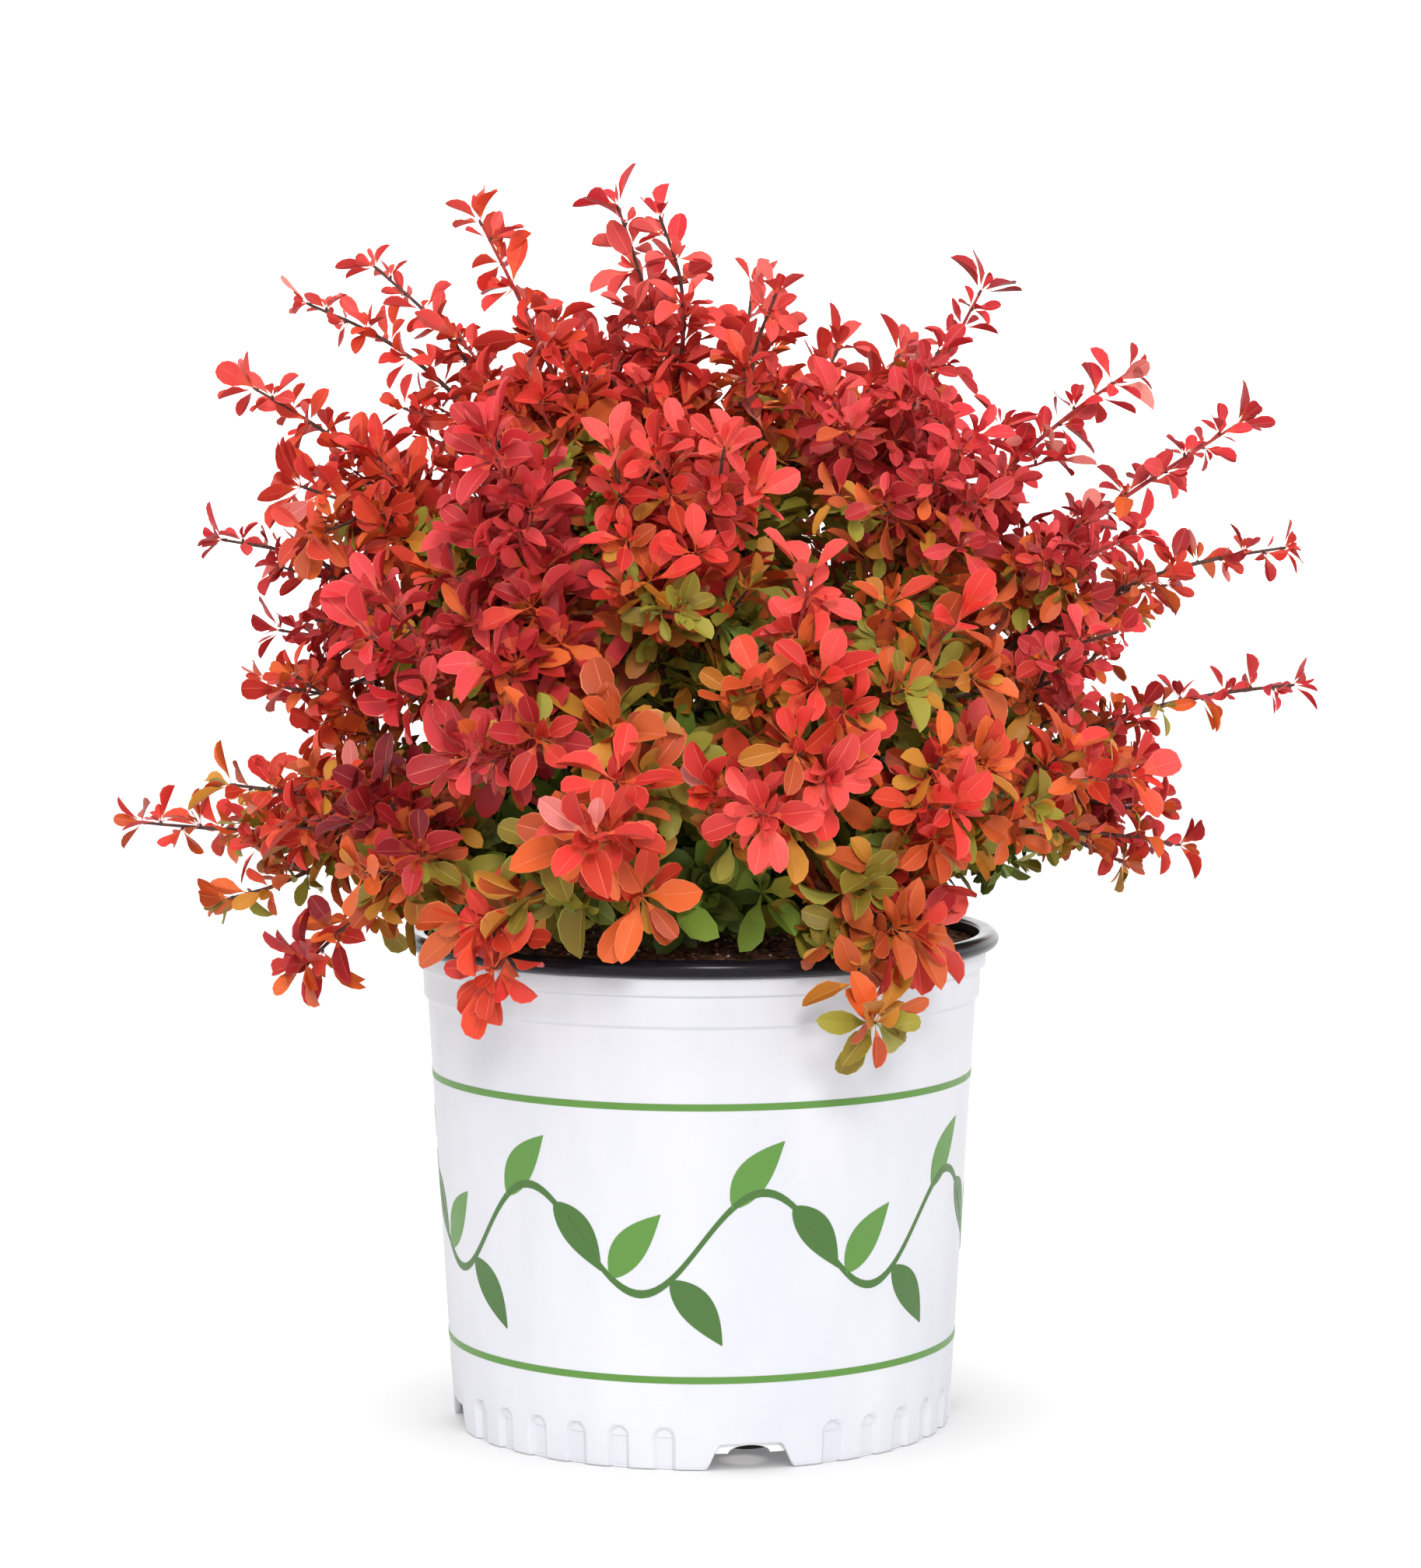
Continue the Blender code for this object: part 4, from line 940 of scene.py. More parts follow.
def grow_along(sprays, mass, dice, path, step, size, share_low, share_high, foot_share):
    """Whorls all along a shoot or twig, from its tip back to near its foot, with a spine under some of them.
    """
    length = path_length(path)
    tip, tip_axis = path[-1], (path[-1] - path[-2]).normalized()
    full = mass.tip_size > FULL_TIP_FROM
    count = dice.choice(FULL_TIP_COUNTS if full else TIP_COUNTS)
    tip_length = LEAF_LENGTH * size * mass.tip_size * TIP_LENGTH_SHARE
    end_axis = tip_axis
    openings = TIP_OPENINGS
    if tip_axis.z < HANGING_RISE:
        openings = HANGING_OPENINGS
        count = HANGING_COUNT
        tip_length *= HANGING_SIZE
        share_high += HANGING_RIPER / SHARE_WEIGHT
        end_axis = (tip_axis * HANGING_AXIS_SHARE + Vector((tip.x, tip.y, 0)).normalized()).normalized()
    grow_whorl(sprays, mass, dice, tip, tip_axis, end_axis, share_high, tip_length, count, openings)
    turn = dice.uniform(0, 360)
    back = step * FIRST_STEP_SHARE
    while back < length * (1 - foot_share):
        seat, axis = point_at(path, 1 - back / length)
        turn += GOLDEN_ANGLE + dice.gauss(0, SPUR_TURN_WANDER)
        side = side_of(axis, turn)
        spur_axis = (side * SPUR_ASIDE + axis * SPUR_AHEAD + SPUR_UP).normalized()
        share = share_low + (share_high - share_low) * (1 - back / length)
        near_tip = 0.0 if full else max(0.0, 1 - back / YOUNG_LEAVES_WITHIN)
        leaf_length = LEAF_LENGTH * size * dice.uniform(*SIDE_LENGTH_SHARES)
        leaf_length *= 1 - YOUNG_LEAF_LOSS * near_tip
        count = dice.choice(SIDE_COUNTS)
        grow_whorl(sprays, mass, dice, seat, axis, spur_axis, share, leaf_length, count, SIDE_OPENINGS)
        if dice.random() < SPINE_SHARE:
            out = (side - axis * SPINE_BACKWARD).normalized()
            sprays.spines.append((seat, out, dice.uniform(*SPINE_LENGTHS)))
        back += step * dice.uniform(*WHORL_STEP_SHARES)


def grow_sprays(masses):
    """Leaves on every shoot, by its kind.

    Each kind has its own wander of ripeness, step from whorl to whorl, size of leaves, ripeness at its foot
    and at its tip, and share of bare foot.
    """
    sprays = Sprays()
    for index, mass in enumerate(masses):
        dice = random.Random(SEED * 7 + index)
        for paths, wander, step, size, low, high, foot in (
            (mass.shoots, 0.03, WHORL_STEP, 1.0, 0.2, 1.0, WHORL_FOOT_SHARE),
            (mass.branchlets, 0.04, WHORL_STEP, 1.0, 0.4, 0.8, WHORL_FOOT_SHARE),
            (mass.limb_twigs, 0.04, TWIG_WHORL_STEP, 1.0, 0.1, 0.3, TWIG_FOOT_SHARE),
            (mass.twigs, 0.04, TWIG_WHORL_STEP, 0.92, 0.35, 0.62, TWIG_FOOT_SHARE),
        ):
            for path in paths:
                mass.wander = dice.gauss(0, wander)
                bare = SKIRT_FOOT_SHARE if not mass.limb and path is mass.shoots[0] else foot
                grow_along(sprays, mass, dice, path, step, mass.leaf_size * size, low, high, bare)
    return sprays


def leaf_arrays(leaves):
    """The leaves' roots and three axes, then their lengths, widths, colours and whether each is fine."""
    roots, alongs, faces, *rest = (np.array(column) for column in zip(*leaves))
    across = np.cross(faces, alongs)
    across /= np.linalg.norm(across, axis=1, keepdims=True)
    return roots, alongs, across, np.cross(alongs, across), *rest


def leaves_kept(leaves, crown):
    """Which leaves clear the pot, the soil and the bare limbs, and stay in reach."""
    roots, along, across, _, lengths, widths = leaves[:6]
    probes = roots[:, None, :] + along[:, None, :] * LEAF_PROBES[None, :, :1] * lengths[:, None, None]
    probes = probes + across[:, None, :] * LEAF_PROBES[None, :, 1:] * widths[:, None, None]
    kept = clear_of_foot(probes).all(axis=1) & in_reach(probes).all(axis=1)
    for start in range(0, len(kept), LEAVES_AT_ONCE):
        block = probes[start : start + LEAVES_AT_ONCE]
        distance = np.linalg.norm(block[:, :, None, :] - crown.limbs[None, None, :, :], axis=3)
        kept[start : start + LEAVES_AT_ONCE] &= distance.min(axis=(1, 2)) > LIMB_MARGIN
    return kept


def leaf_half_width(station, fullest):
    """Half width of the outline: a narrow stalk, a slow taper to the fullest place, then a round end."""
    if station <= STALK_END:
        return STALK_HALF
    if station < fullest:
        rise = (station - STALK_END) / (fullest - STALK_END)
        return max(STALK_HALF, 0.5 * math.sin(math.pi / 2 * rise) ** BASE_TAPER)
    fall = (station - fullest) / (1 - fullest)
    return 0.5 * math.sqrt(1 - fall * fall)


def zone_at(station):
    """The slot of the blade at a station: leaves are yellower towards the stalk."""
    if station < ROOT_ZONE_END:
        return ROOT_ZONE
    return MIDDLE_ZONE if station < MIDDLE_ZONE_END else FIRST_BLADE


def leaf_template(fine, cup, bend, wave, fullest):
    """A leaf of unit length and width: its points, its triangles and the material slot of each.

    It is cupped along the midrib, bent and a little wavy.
    """
    stations = FINE_STATIONS if fine else PLAIN_STATIONS
    shares = (-1.0, 0.0, 1.0)
    if fine:
        shares = (-1.0, RIM_SHARE - 1, -MIDRIB_SHARE, MIDRIB_SHARE, 1 - RIM_SHARE, 1.0)
    columns = len(shares)
    points = [(x, share * leaf_half_width(x, fullest)) for x in stations for share in shares] + [(1.0, 0.0)]
    points = [(x, y, cup * abs(y) - bend * x * x + wave * y * math.sin(WAVE_FINENESS * x)) for x, y in points]
    tip = len(points) - 1
    triangles = []
    slots = []
    for row, station in enumerate(stations):
        for column in range(columns - 1):
            is_pale = fine and column % 2 == 0 and station > PALE_FROM
            slot = RIM if is_pale else zone_at(station)
            near = row * columns + column
            if row + 1 == len(stations):
                triangles.append((near, near + 1, tip))
                slots.append(slot)
            else:
                far = near + columns
                triangles.extend([(near, near + 1, far + 1), (near, far + 1, far)])
                slots.extend([slot, slot])
    return np.array(points), np.array(triangles)[:, ::-1], np.array(slots)


def joined(parts):
    """Joins (points, triangles) or (points, triangles, slots) parts into one set of arrays."""
    points = []
    triangles = []
    slots = []
    offset = 0
    for part in parts:
        points.append(part[0])
        triangles.append(part[1] + offset)
        slots.append(part[2] if len(part) > 2 else np.zeros(len(part[1]), int))
        offset += len(part[0])
    return np.concatenate(points), np.concatenate(triangles), np.concatenate(slots)


def mesh_of(name, parts, materials):
    """One mesh from joined parts, smooth but for the sharp edges of thin shapes."""
    points, triangles, slots = joined(parts)
    mesh = bpy.data.meshes.new(name)
    mesh.vertices.add(len(points))
    mesh.vertices.foreach_set("co", np.asarray(points, np.float32).ravel())
    mesh.loops.add(3 * len(triangles))
    mesh.loops.foreach_set("vertex_index", np.asarray(triangles, np.int32).ravel())
    mesh.polygons.add(len(triangles))
    mesh.polygons.foreach_set("loop_start", np.arange(0, 3 * len(triangles), 3, dtype=np.int32))
    mesh.polygons.foreach_set("material_index", np.asarray(slots, np.int32))
    for material in materials:
        mesh.materials.append(material)
    mesh.update(calc_edges=True)
    mesh.shade_smooth()
    mesh.set_sharp_from_angle(angle=math.radians(SHARP_FROM))
    return mesh


def cleaned(mesh, sharp_from, weld=True):
    """The mesh with doubled points welded, faces turned outwards and its edges sharp from an angle on."""
    shape = bmesh.new()
    shape.from_mesh(mesh)
    if weld:
        bmesh.ops.remove_doubles(shape, verts=shape.verts, dist=WELD_DISTANCE)
    bmesh.ops.recalc_face_normals(shape, faces=shape.faces)
    shape.to_mesh(mesh)
    shape.free()
    mesh.shade_smooth()
    mesh.set_sharp_from_angle(angle=math.radians(sharp_from))
    return mesh


def new_object(name, data):
    obj = bpy.data.objects.new(name, data)
    bpy.context.scene.collection.objects.link(obj)
    return obj


def add_piece(name, mesh, replaced=()):
    """Puts a mesh in the scene as a piece that rides on the plant's one body."""
    obj = new_object(name, mesh)
    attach(obj, BODY)
    if replaced:
        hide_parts(*replaced)
    return obj


def add_joined(name, parts, materials, replaced=()):
    """A piece of many joined parts."""
    return add_piece(name, mesh_of(name, parts, materials), replaced)


def leaf_materials(name, colour, is_green):
    """Two shades of the blade, its pale rim, and the riper or greener zone near the stalk."""
    blade = linear(colour)
    darker = tuple(part * share for part, share in zip(blade, SECOND_BLADE_TINT))
    rim, foot = (linear(tint) for tint in (GREEN_TINTS if is_green else RED_TINTS))
    return [
        plain_material("leaf_" + part + name, shade, roughness, 900.0, strength, depth, specular)
        for part, shade, roughness, strength, depth, specular in (
            ("", blade, (0.40, 0.58), 0.25, 0.0003, 0.24),
            ("shade_", darker, (0.40, 0.58), 0.25, 0.0003, 0.24),
            ("rim_", mixed(blade, rim, 0.19), (0.45, 0.55), 0.10, 0.0002, 0.30),
            ("foot_", mixed(blade, foot, 0.28), (0.42, 0.58), 0.20, 0.0003, 0.30),
            ("middle_", mixed(blade, foot, 0.12), (0.42, 0.58), 0.20, 0.0003, 0.30),
        )
    ]


def placed_leaves(template, leaves, chosen, darker):
    """Points, triangles and slots of one template set at every chosen leaf."""
    points, triangles, slots = template
    roots, *axes, lengths, widths = leaves[:6]
    placed = roots[chosen, None, :]
    for column, (axis, sizes) in enumerate(zip(axes, (lengths, widths, lengths))):
        placed = placed + axis[chosen, None, :] * (points[None, :, column, None] * sizes[chosen, None, None])
    steps = (np.arange(len(chosen)) * len(points))[:, None, None]
    shades = np.tile(slots, (len(chosen), 1))
    shades[((shades == FIRST_BLADE) | (shades == MIDDLE_ZONE)) & darker[chosen, None]] = SECOND_BLADE
    return placed.reshape(-1, 3), (triangles[None, :, :] + steps).reshape(-1, 3), shades.ravel()


def build_leaves(sprays, crown):
    """Joined pieces of leaves, each of one colour and of a safe size."""
    leaves = leaf_arrays(sprays.leaves)
    colours, fine = leaves[6:]
    kept = leaves_kept(leaves, crown)
    darker = np.random.default_rng(SEED).random(len(kept)) < DARKER_SHARE
    templates = {
        True: [leaf_template(True, *kind) for kind in FINE_KINDS],
        False: [leaf_template(False, *kind) for kind in PLAIN_KINDS],
    }
    for name, (slot, colour) in LEAF_COLOURS.items():
        of_colour = np.flatnonzero(kept & (colours == name))
        if not len(of_colour):
            continue
        replaced = [node for node in NODES if node.startswith("foliage_") and SLOT_OF_NODE[node] == slot]
        materials = leaf_materials(name, colour, slot == "leaf_green")
        for number, group in enumerate(np.array_split(of_colour, 1 + len(of_colour) // MOST_LEAVES_IN_PIECE)):
            parts = []
            for is_fine, kinds in templates.items():
                for kind, template in enumerate(kinds):
                    chosen = group[(fine[group] == is_fine) & (group % len(kinds) == kind)]
                    if len(chosen):
                        parts.append(placed_leaves(template, leaves, chosen, darker))
            add_joined(f"leaves_{name}_{number + 1}", parts, materials, replaced)


def skin(rings):
    """Triangles from ring to ring, each ring given by its points' numbers. A pole is a ring of one number."""
    triangles = []
    for near, far in zip(rings, rings[1:]):
        for step in range(len(near)):
            after = (step + 1) % len(near)
            if near[step] != near[after]:
                triangles.append((near[step], far[step], near[after]))
            if far[step] != far[after]:
                triangles.append((near[after], far[step], far[after]))
    return np.array(triangles)


def tube(path, radii, sides, relief=0.0, grain_seed=0.0):
    """A closed tapering limb along a path: its points and triangles. Relief is the depth of its ridges."""
    centres = np.array(path)
    tangents = np.gradient(centres, axis=0)
    tangents /= np.linalg.norm(tangents, axis=1, keepdims=True)
    side = Vector(tangents[0]).orthogonal().normalized()
    points = []
    for index, (centre, tangent) in enumerate(zip(centres, tangents)):
        tangent = Vector(tangent)
        side = (side - tangent * side.dot(tangent)).normalized()
        other = tangent.cross(side)
        for step in range(sides):
            angle = 2 * math.pi * step / sides
            ridge = 0.0
            if relief:
                ahead, aside = math.cos(angle) * RIDGE_AROUND, math.sin(angle) * RIDGE_AROUND
                spot = Vector((ahead, aside + grain_seed, index * RIDGE_ALONG))
                large, small = (noise.noise(spot * fineness) for fineness in RIDGE_FINENESSES)
                ridge = relief * (large + small / 2)
            points.append(Vector(centre) + turned(side, other, angle) * radii[index] * (1 + ridge))
    rings = [range(start, start + sides) for start in range(0, len(points), sides)]
    foot, tip = len(points), len(points) + 1
    points += [Vector(centres[0]), Vector(centres[-1]) + Vector(tangents[-1]) * radii[-1]]
    triangles = skin([[tip] * sides, *reversed(rings), [foot] * sides])
    return np.array([tuple(point) for point in points]), triangles


def limb_tube(path, first_radius, last_radius, kind, grain_seed=0.0):
    """A tapering limb, shoot or twig with the sides, step and ridges of its kind of wood."""
    sides, ring_step, relief = kind
    fine = resampled(path, max(4, round(path_length(path) / ring_step)))
    radii = np.linspace(first_radius, last_radius, len(fine))
    return tube(fine, radii, sides, relief, grain_seed)


def build_root_crown():
    """The short woody foot: a dome with a flare, burls and furrows."""
    shape = bmesh.new()
    bmesh.ops.create_icosphere(shape, subdivisions=5, radius=CROWN_RADIUS)
    for vert in shape.verts:
        direction = vert.co.normalized()
        burl = noise.noise(direction * BURL_FINENESS + BURL_SPOT) * BURL_DEPTH
        furrow = noise.noise(direction * FURROW_FINENESS) * FURROW_DEPTH
        vert.co *= 1 + burl + furrow - CROWN_SHRINK
        if vert.co.z < CROWN_FOOT:
            flare = 1 + CROWN_FLARE * (1 - max(0.0, vert.co.z) / CROWN_FOOT)
            vert.co.x *= flare
            vert.co.y *= flare
        vert.co.z = max(vert.co.z, -CROWN_FOOT)
    shape.transform(Matrix.Translation(CROWN_CENTRE))
    mesh = bpy.data.meshes.new("root_crown_bark")
    shape.to_mesh(mesh)
    shape.free()
    mesh.shade_smooth()
    mesh.materials.append(bark_material("root_bark", (44, 30, 24), (122, 96, 78), 260.0))
    add_piece("root_crown_bark", mesh, ["root_crown"])


def build_wood(masses, sprays):
    """Bare limbs, brown shoots, young red shoots, twigs and spurs, each kind joined apart."""
    limbs = []
    brown = []
    red = []
    for index, mass in enumerate(masses):
        own = red if mass.young else brown
        if mass.limb:
            inward = (CROWN_CENTRE - mass.limb[0]).normalized() * LIMB_SINK
            path = [mass.limb[0] + inward] + mass.limb + [mass.shoots[0][1]]
            limbs.append(limb_tube(path, LIMB_FOOT_RADIUS, LIMB_END_RADIUS, LIMB_SKIN, index * 3.7))
        for number, shoot in enumerate(mass.shoots):
            first = LIMB_END_RADIUS if number == 0 and mass.limb else SIDE_FOOT_RADIUS
            own.append(limb_tube(shoot, first, SHOOT_TIP_RADIUS, SHOOT_SKIN, index + number * 0.3))
        for branchlet in mass.branchlets:
            own.append(limb_tube(branchlet, BRANCHLET_FOOT_RADIUS, TWIG_TIP_RADIUS, BRANCHLET_SKIN, 1.0))
        for twig in mass.limb_twigs:
            brown.append(limb_tube(twig, TWIG_FOOT_RADIUS, TWIG_TIP_RADIUS, TWIG_SKIN))
        for twig in mass.twigs:
            target = red if twig[-1].z > RED_TWIGS_ABOVE else own
            target.append(limb_tube(twig, TWIG_FOOT_RADIUS, TWIG_TIP_RADIUS, TWIG_SKIN))
    spurs = []
    for seat, axis in sprays.spurs:
        spurs.append(tube([seat - axis * SPUR_SINK, seat + axis * SPUR_LENGTH], SPUR_RADII, 3))
    canes = [node for node in NODES if node.startswith("cane_")]
    foliage = [node for node in NODES if node.startswith("foliage_")]
    dark_bark = bark_material("cane_bark", (38, 26, 22), (112, 84, 66), 420.0)
    brown_bark = bark_material("shoot_bark", (40, 24, 20), (104, 62, 48), 700.0)
    red_bark = bark_material("young_bark", (128, 26, 30), (184, 62, 52), 700.0)
    for name, parts, surface, replaced in (
        ("canes", limbs, dark_bark, canes),
        ("shoots_brown", brown, brown_bark, foliage),
        ("shoots_red", red, red_bark, []),
        ("spurs", spurs, brown_bark, []),
    ):
        add_joined(name, parts, [surface], replaced)


def build_spines(sprays):
    """Thin pale needles, one under a whorl."""
    parts = []
    triangles = np.array([(0, 1, 3), (1, 2, 3), (2, 0, 3), (0, 2, 1)])
    for seat, out, length in sprays.spines:
        side = out.orthogonal().normalized()
        other = out.cross(side)
        points = [seat + turned(side, other, 2 * math.pi * corner / 3) * SPINE_RADIUS for corner in range(3)]
        points.append(seat + out * length)
        parts.append((np.array([tuple(point) for point in points]), triangles))
    pale = plain_material("spine_pale", linear((214, 138, 104)), (0.40, 0.60), 900.0, 0.10, 0.0002)
    add_joined("spines", parts, [pale])


def softened(corners, radius, steps=4):
    """A profile with its inner corners rounded by short curves."""
    points = [corners[0]]
    for before, corner, after in zip(corners, corners[1:], corners[2:]):
        here = Vector(corner)
        back = Vector(before) - here
        ahead = Vector(after) - here
        reach = min(radius, back.length * MOST_CORNER_SHARE, ahead.length * MOST_CORNER_SHARE)
        first = here + back.normalized() * reach
        last = here + ahead.normalized() * reach
        for step in range(steps + 1):
            t = step / steps
            points.append(tuple(first * (1 - t) ** 2 + here * 2 * t * (1 - t) + last * t * t))
    points.append(corners[-1])
    return points


def revolved(profile, steps):
    """Points and triangles of a profile turned round Z. A point on the axis is drawn once."""
    points = []
    rings = []
    angles = [2 * math.pi * step / steps for step in range(steps)]
    for radius, height in profile:
        if radius < 1e-7:
            rings.append([len(points)] * steps)
            points.append((0.0, 0.0, height))
        else:
            rings.append(range(len(points), len(points) + steps))
            points.extend((radius * math.sin(angle), -radius * math.cos(angle), height) for angle in angles)
    return np.array(points), skin(rings)


def smooth_step(value):
    t = np.clip(value, 0.0, 1.0)
    return t * t * (3 - 2 * t)


def half_round(offsets, middle, half, rise):
    """Heights of a half-round arch at distances aside."""
    return np.sqrt(np.clip(1 - ((offsets - middle) / half) ** 2, 0, 1)) * rise


def body_radius(height):
    """Outer radius of the pot's tapering body."""
    return FOOT_RADIUS + (BODY_TOP_RADIUS - FOOT_RADIUS) * height / COLLAR_BOTTOM


def shape_foot(points):
    """Raises the foot's edge into its notches and presses the flutes into its outer face."""
    azimuths = np.degrees(np.arctan2(points[:, 0], -points[:, 1]))
    radius = np.hypot(points[:, 0], points[:, 1])
    height = points[:, 2].copy()

    def aside_of(middle):
        """How far each point is, round the foot, from a middle that comes again in every quadrant."""
        offsets = (azimuths - middle + QUADRANT / 2) % QUADRANT - QUADRANT / 2
        return np.abs(np.radians(offsets)) * FOOT_RADIUS

    from_notch = aside_of(FIRST_NOTCH_AZIMUTH)
    lift = smooth_step((NOTCH_FOOT_HALF - from_notch) / (NOTCH_FOOT_HALF - NOTCH_TOP_HALF)) * NOTCH_HEIGHT
    ring = radius > FOOT_RADIUS - FOOT_RING_WALL - EDGE_BEVEL
    outer = ring & (radius > body_radius(height) - POT_WALL * OUTER_FACE_SHARE) & (height < FOOT_ROWS_TOP)
    low_inner = ring & ~outer & (height < FLOOR_UNDERSIDE)
    for rows, top in ((outer, FOOT_ROWS_TOP), (low_inner, FLOOR_UNDERSIDE)):
        points[rows, 2] = (lift + height * (top - lift) / top)[rows]
    depth = np.zeros(len(points))
    for offset in FLUTE_OFFSETS:
        aside = aside_of(FIRST_NOTCH_AZIMUTH + QUADRANT / 2 + offset)
        above = np.clip(height - (FLUTE_HEIGHT - FLUTE_HALF_WIDTH), 0, None)
        from_edge = FLUTE_HALF_WIDTH - np.hypot(aside, above)
        depth = np.maximum(depth, smooth_step(from_edge / FLUTE_EDGE) * FLUTE_DEPTH)
    shrink = np.where(outer, (radius - depth) / np.maximum(radius, 1e-6), 1.0)
    points[:, :2] *= shrink[:, None]
    return points


def cut_drains(pot):
    """Cuts the drain holes through the pot's floor, one behind each notch."""
    shape = bmesh.new()
    for quarter in range(4):
        spot = place(FIRST_NOTCH_AZIMUTH + quarter * QUADRANT, DRAIN_RING_RADIUS, FLOOR_TOP)
        bmesh.ops.create_cone(
            shape, cap_ends=True, segments=32, radius1=DRAIN_RADIUS, radius2=DRAIN_RADIUS,
            depth=DRAIN_CUT_DEPTH, matrix=Matrix.Translation(spot),
        )
    mesh = bpy.data.meshes.new("drain_cutter")
    shape.to_mesh(mesh)
    shape.free()
    cutter = new_object("drain_cutter", mesh)
    boolean = pot.modifiers.new("drains", "BOOLEAN")
    boolean.operation = "DIFFERENCE"
    boolean.solver = "EXACT"
    boolean.object = cutter
    graph = bpy.context.evaluated_depsgraph_get()
    pot.data = bpy.data.meshes.new_from_object(pot.evaluated_get(graph))
    pot.data.name = "pot_moulding_drained"
    pot.modifiers.clear()
    bpy.data.objects.remove(cutter)


def build_pot():
    """The moulded pot: stepped collar, tapering body, fluted and notched foot, and drain holes."""
    profile = softened([
        (UPPER_BAND_RADIUS - POT_WALL, LIP_BOTTOM - POT_GAP),
        (UPPER_BAND_RADIUS, LIP_BOTTOM - POT_GAP),
        (UPPER_BAND_RADIUS - UPPER_BAND_DRAFT, UPPER_BAND_BOTTOM),
        (LOWER_BAND_RADIUS, UPPER_BAND_BOTTOM - UPPER_BAND_CHAMFER),
        (LOWER_BAND_RADIUS - LOWER_BAND_DRAFT, COLLAR_BOTTOM),
        (BODY_TOP_RADIUS, COLLAR_BOTTOM - BAND_CHAMFER),
        *((body_radius(height), height) for height in BODY_ROWS),
    ], CORNER_RADIUS)
    foot_rows = np.linspace(FOOT_ROWS_TOP, CORNER_RADIUS, FOOT_ROWS)
    inner_foot = FOOT_RADIUS - FOOT_RING_WALL
    profile += [
        *((body_radius(height), height) for height in foot_rows),
        (FOOT_RADIUS - EDGE_BEVEL, EDGE_BEVEL),
        (FOOT_RADIUS - CORNER_RADIUS, 0.0),
        (inner_foot + CORNER_RADIUS, 0.0),
        (inner_foot, CORNER_RADIUS),
        *((inner_foot, height) for height in INNER_FOOT_ROWS),
        (inner_foot, FLOOR_UNDERSIDE),
        (DRAIN_RING_RADIUS / 2, FLOOR_UNDERSIDE),
        (0.0, FLOOR_UNDERSIDE),
        (0.0, FLOOR_TOP),
        (body_radius(FLOOR_TOP) - POT_WALL, FLOOR_TOP),
        (BODY_TOP_RADIUS - POT_WALL, COLLAR_BOTTOM),
        (LOWER_BAND_RADIUS - POT_WALL, COLLAR_BOTTOM + BAND_CHAMFER),
        (LOWER_BAND_RADIUS - POT_WALL, UPPER_BAND_BOTTOM),
        (UPPER_BAND_RADIUS - POT_WALL, UPPER_BAND_BOTTOM + BAND_CHAMFER),
        (UPPER_BAND_RADIUS - POT_WALL, LIP_BOTTOM - POT_GAP),
    ]
    points, triangles = revolved(profile, POT_STEPS)
    mesh = mesh_of("pot_moulding", [(shape_foot(points), triangles[:, ::-1])], [pot_material()])
    cut_drains(add_piece("pot_moulding", cleaned(mesh, sharp_from=38), ["pot"]))


def bar(rings):
    """A closed bar through rings of four corners: its points and triangles."""
    points = np.array([tuple(corner) for ring in rings for corner in ring])
    last = len(points) - 4
    sides = skin([range(start, start + 4) for start in range(last, -1, -4)])[:, ::-1]
    ends = [(0, 1, 2), (0, 2, 3), (last, last + 2, last + 1), (last, last + 3, last + 2)]
    return points, np.concatenate([sides, ends])


def foot_strip(middle, offsets, lows, radius, thickness):
    """An upright strip under the pot's floor, its lower edge given at distances aside from a middle."""
    high = FLOOR_UNDERSIDE + CLEARANCE
    inner = radius - thickness
    rings = []
    for offset, low in zip(offsets, lows):
        azimuth = middle + math.degrees(offset / radius)
        corners = ((radius, low), (radius, high), (inner, high), (inner, low))
        rings.append([place(azimuth, reach, height) for reach, height in corners])
    return bar(rings)


def build_drain_slots():
    """The short wall behind each notch, with a half-round slot, and a near-black plate of painted shade
    behind the slot.
    """
    walls = []
    shade_plates = []
    shade_plate_radius = SLOT_WALL_RADIUS - SLOT_WALL_THICKNESS - SHADE_PLATE_GAP
    wall_offsets = np.linspace(-SLOT_WALL_HALF, SLOT_WALL_HALF, SLOT_STEPS + 1)
    arch = half_round(wall_offsets, 0.0, SLOT_HALF, SLOT_RISE)
    shade_plate_offsets = np.linspace(2 * SHADE_PLATE_MIDDLE - SLOT_HALF, SLOT_HALF, SHADE_PLATE_STEPS + 1)
    sag = half_round(shade_plate_offsets, SHADE_PLATE_MIDDLE, SLOT_HALF - SHADE_PLATE_MIDDLE, SHADE_PLATE_SAG)
    for quarter in range(4):
        middle = FIRST_NOTCH_AZIMUTH + quarter * QUADRANT
        lows = SLOT_WALL_LOW + arch
        walls.append(foot_strip(middle, wall_offsets, lows, SLOT_WALL_RADIUS, SLOT_WALL_THICKNESS))
        shade_plates.append(foot_strip(middle, shade_plate_offsets, SHADE_PLATE_LOW - sag, shade_plate_radius, SHADE_PLATE_THICKNESS))
    add_joined("slot_walls", walls, [bpy.data.materials["pot_white"]])
    # Near-black plate behind each slot: painted shade where the pot's shadowed underside would show
    dark = plain_material("slot_painted_shade", (0.006, 0.005, 0.005), (0.7, 0.9), 500.0, 0.5, 0.0005, 0.2)
    add_joined("slot_darks", shade_plates, [dark])


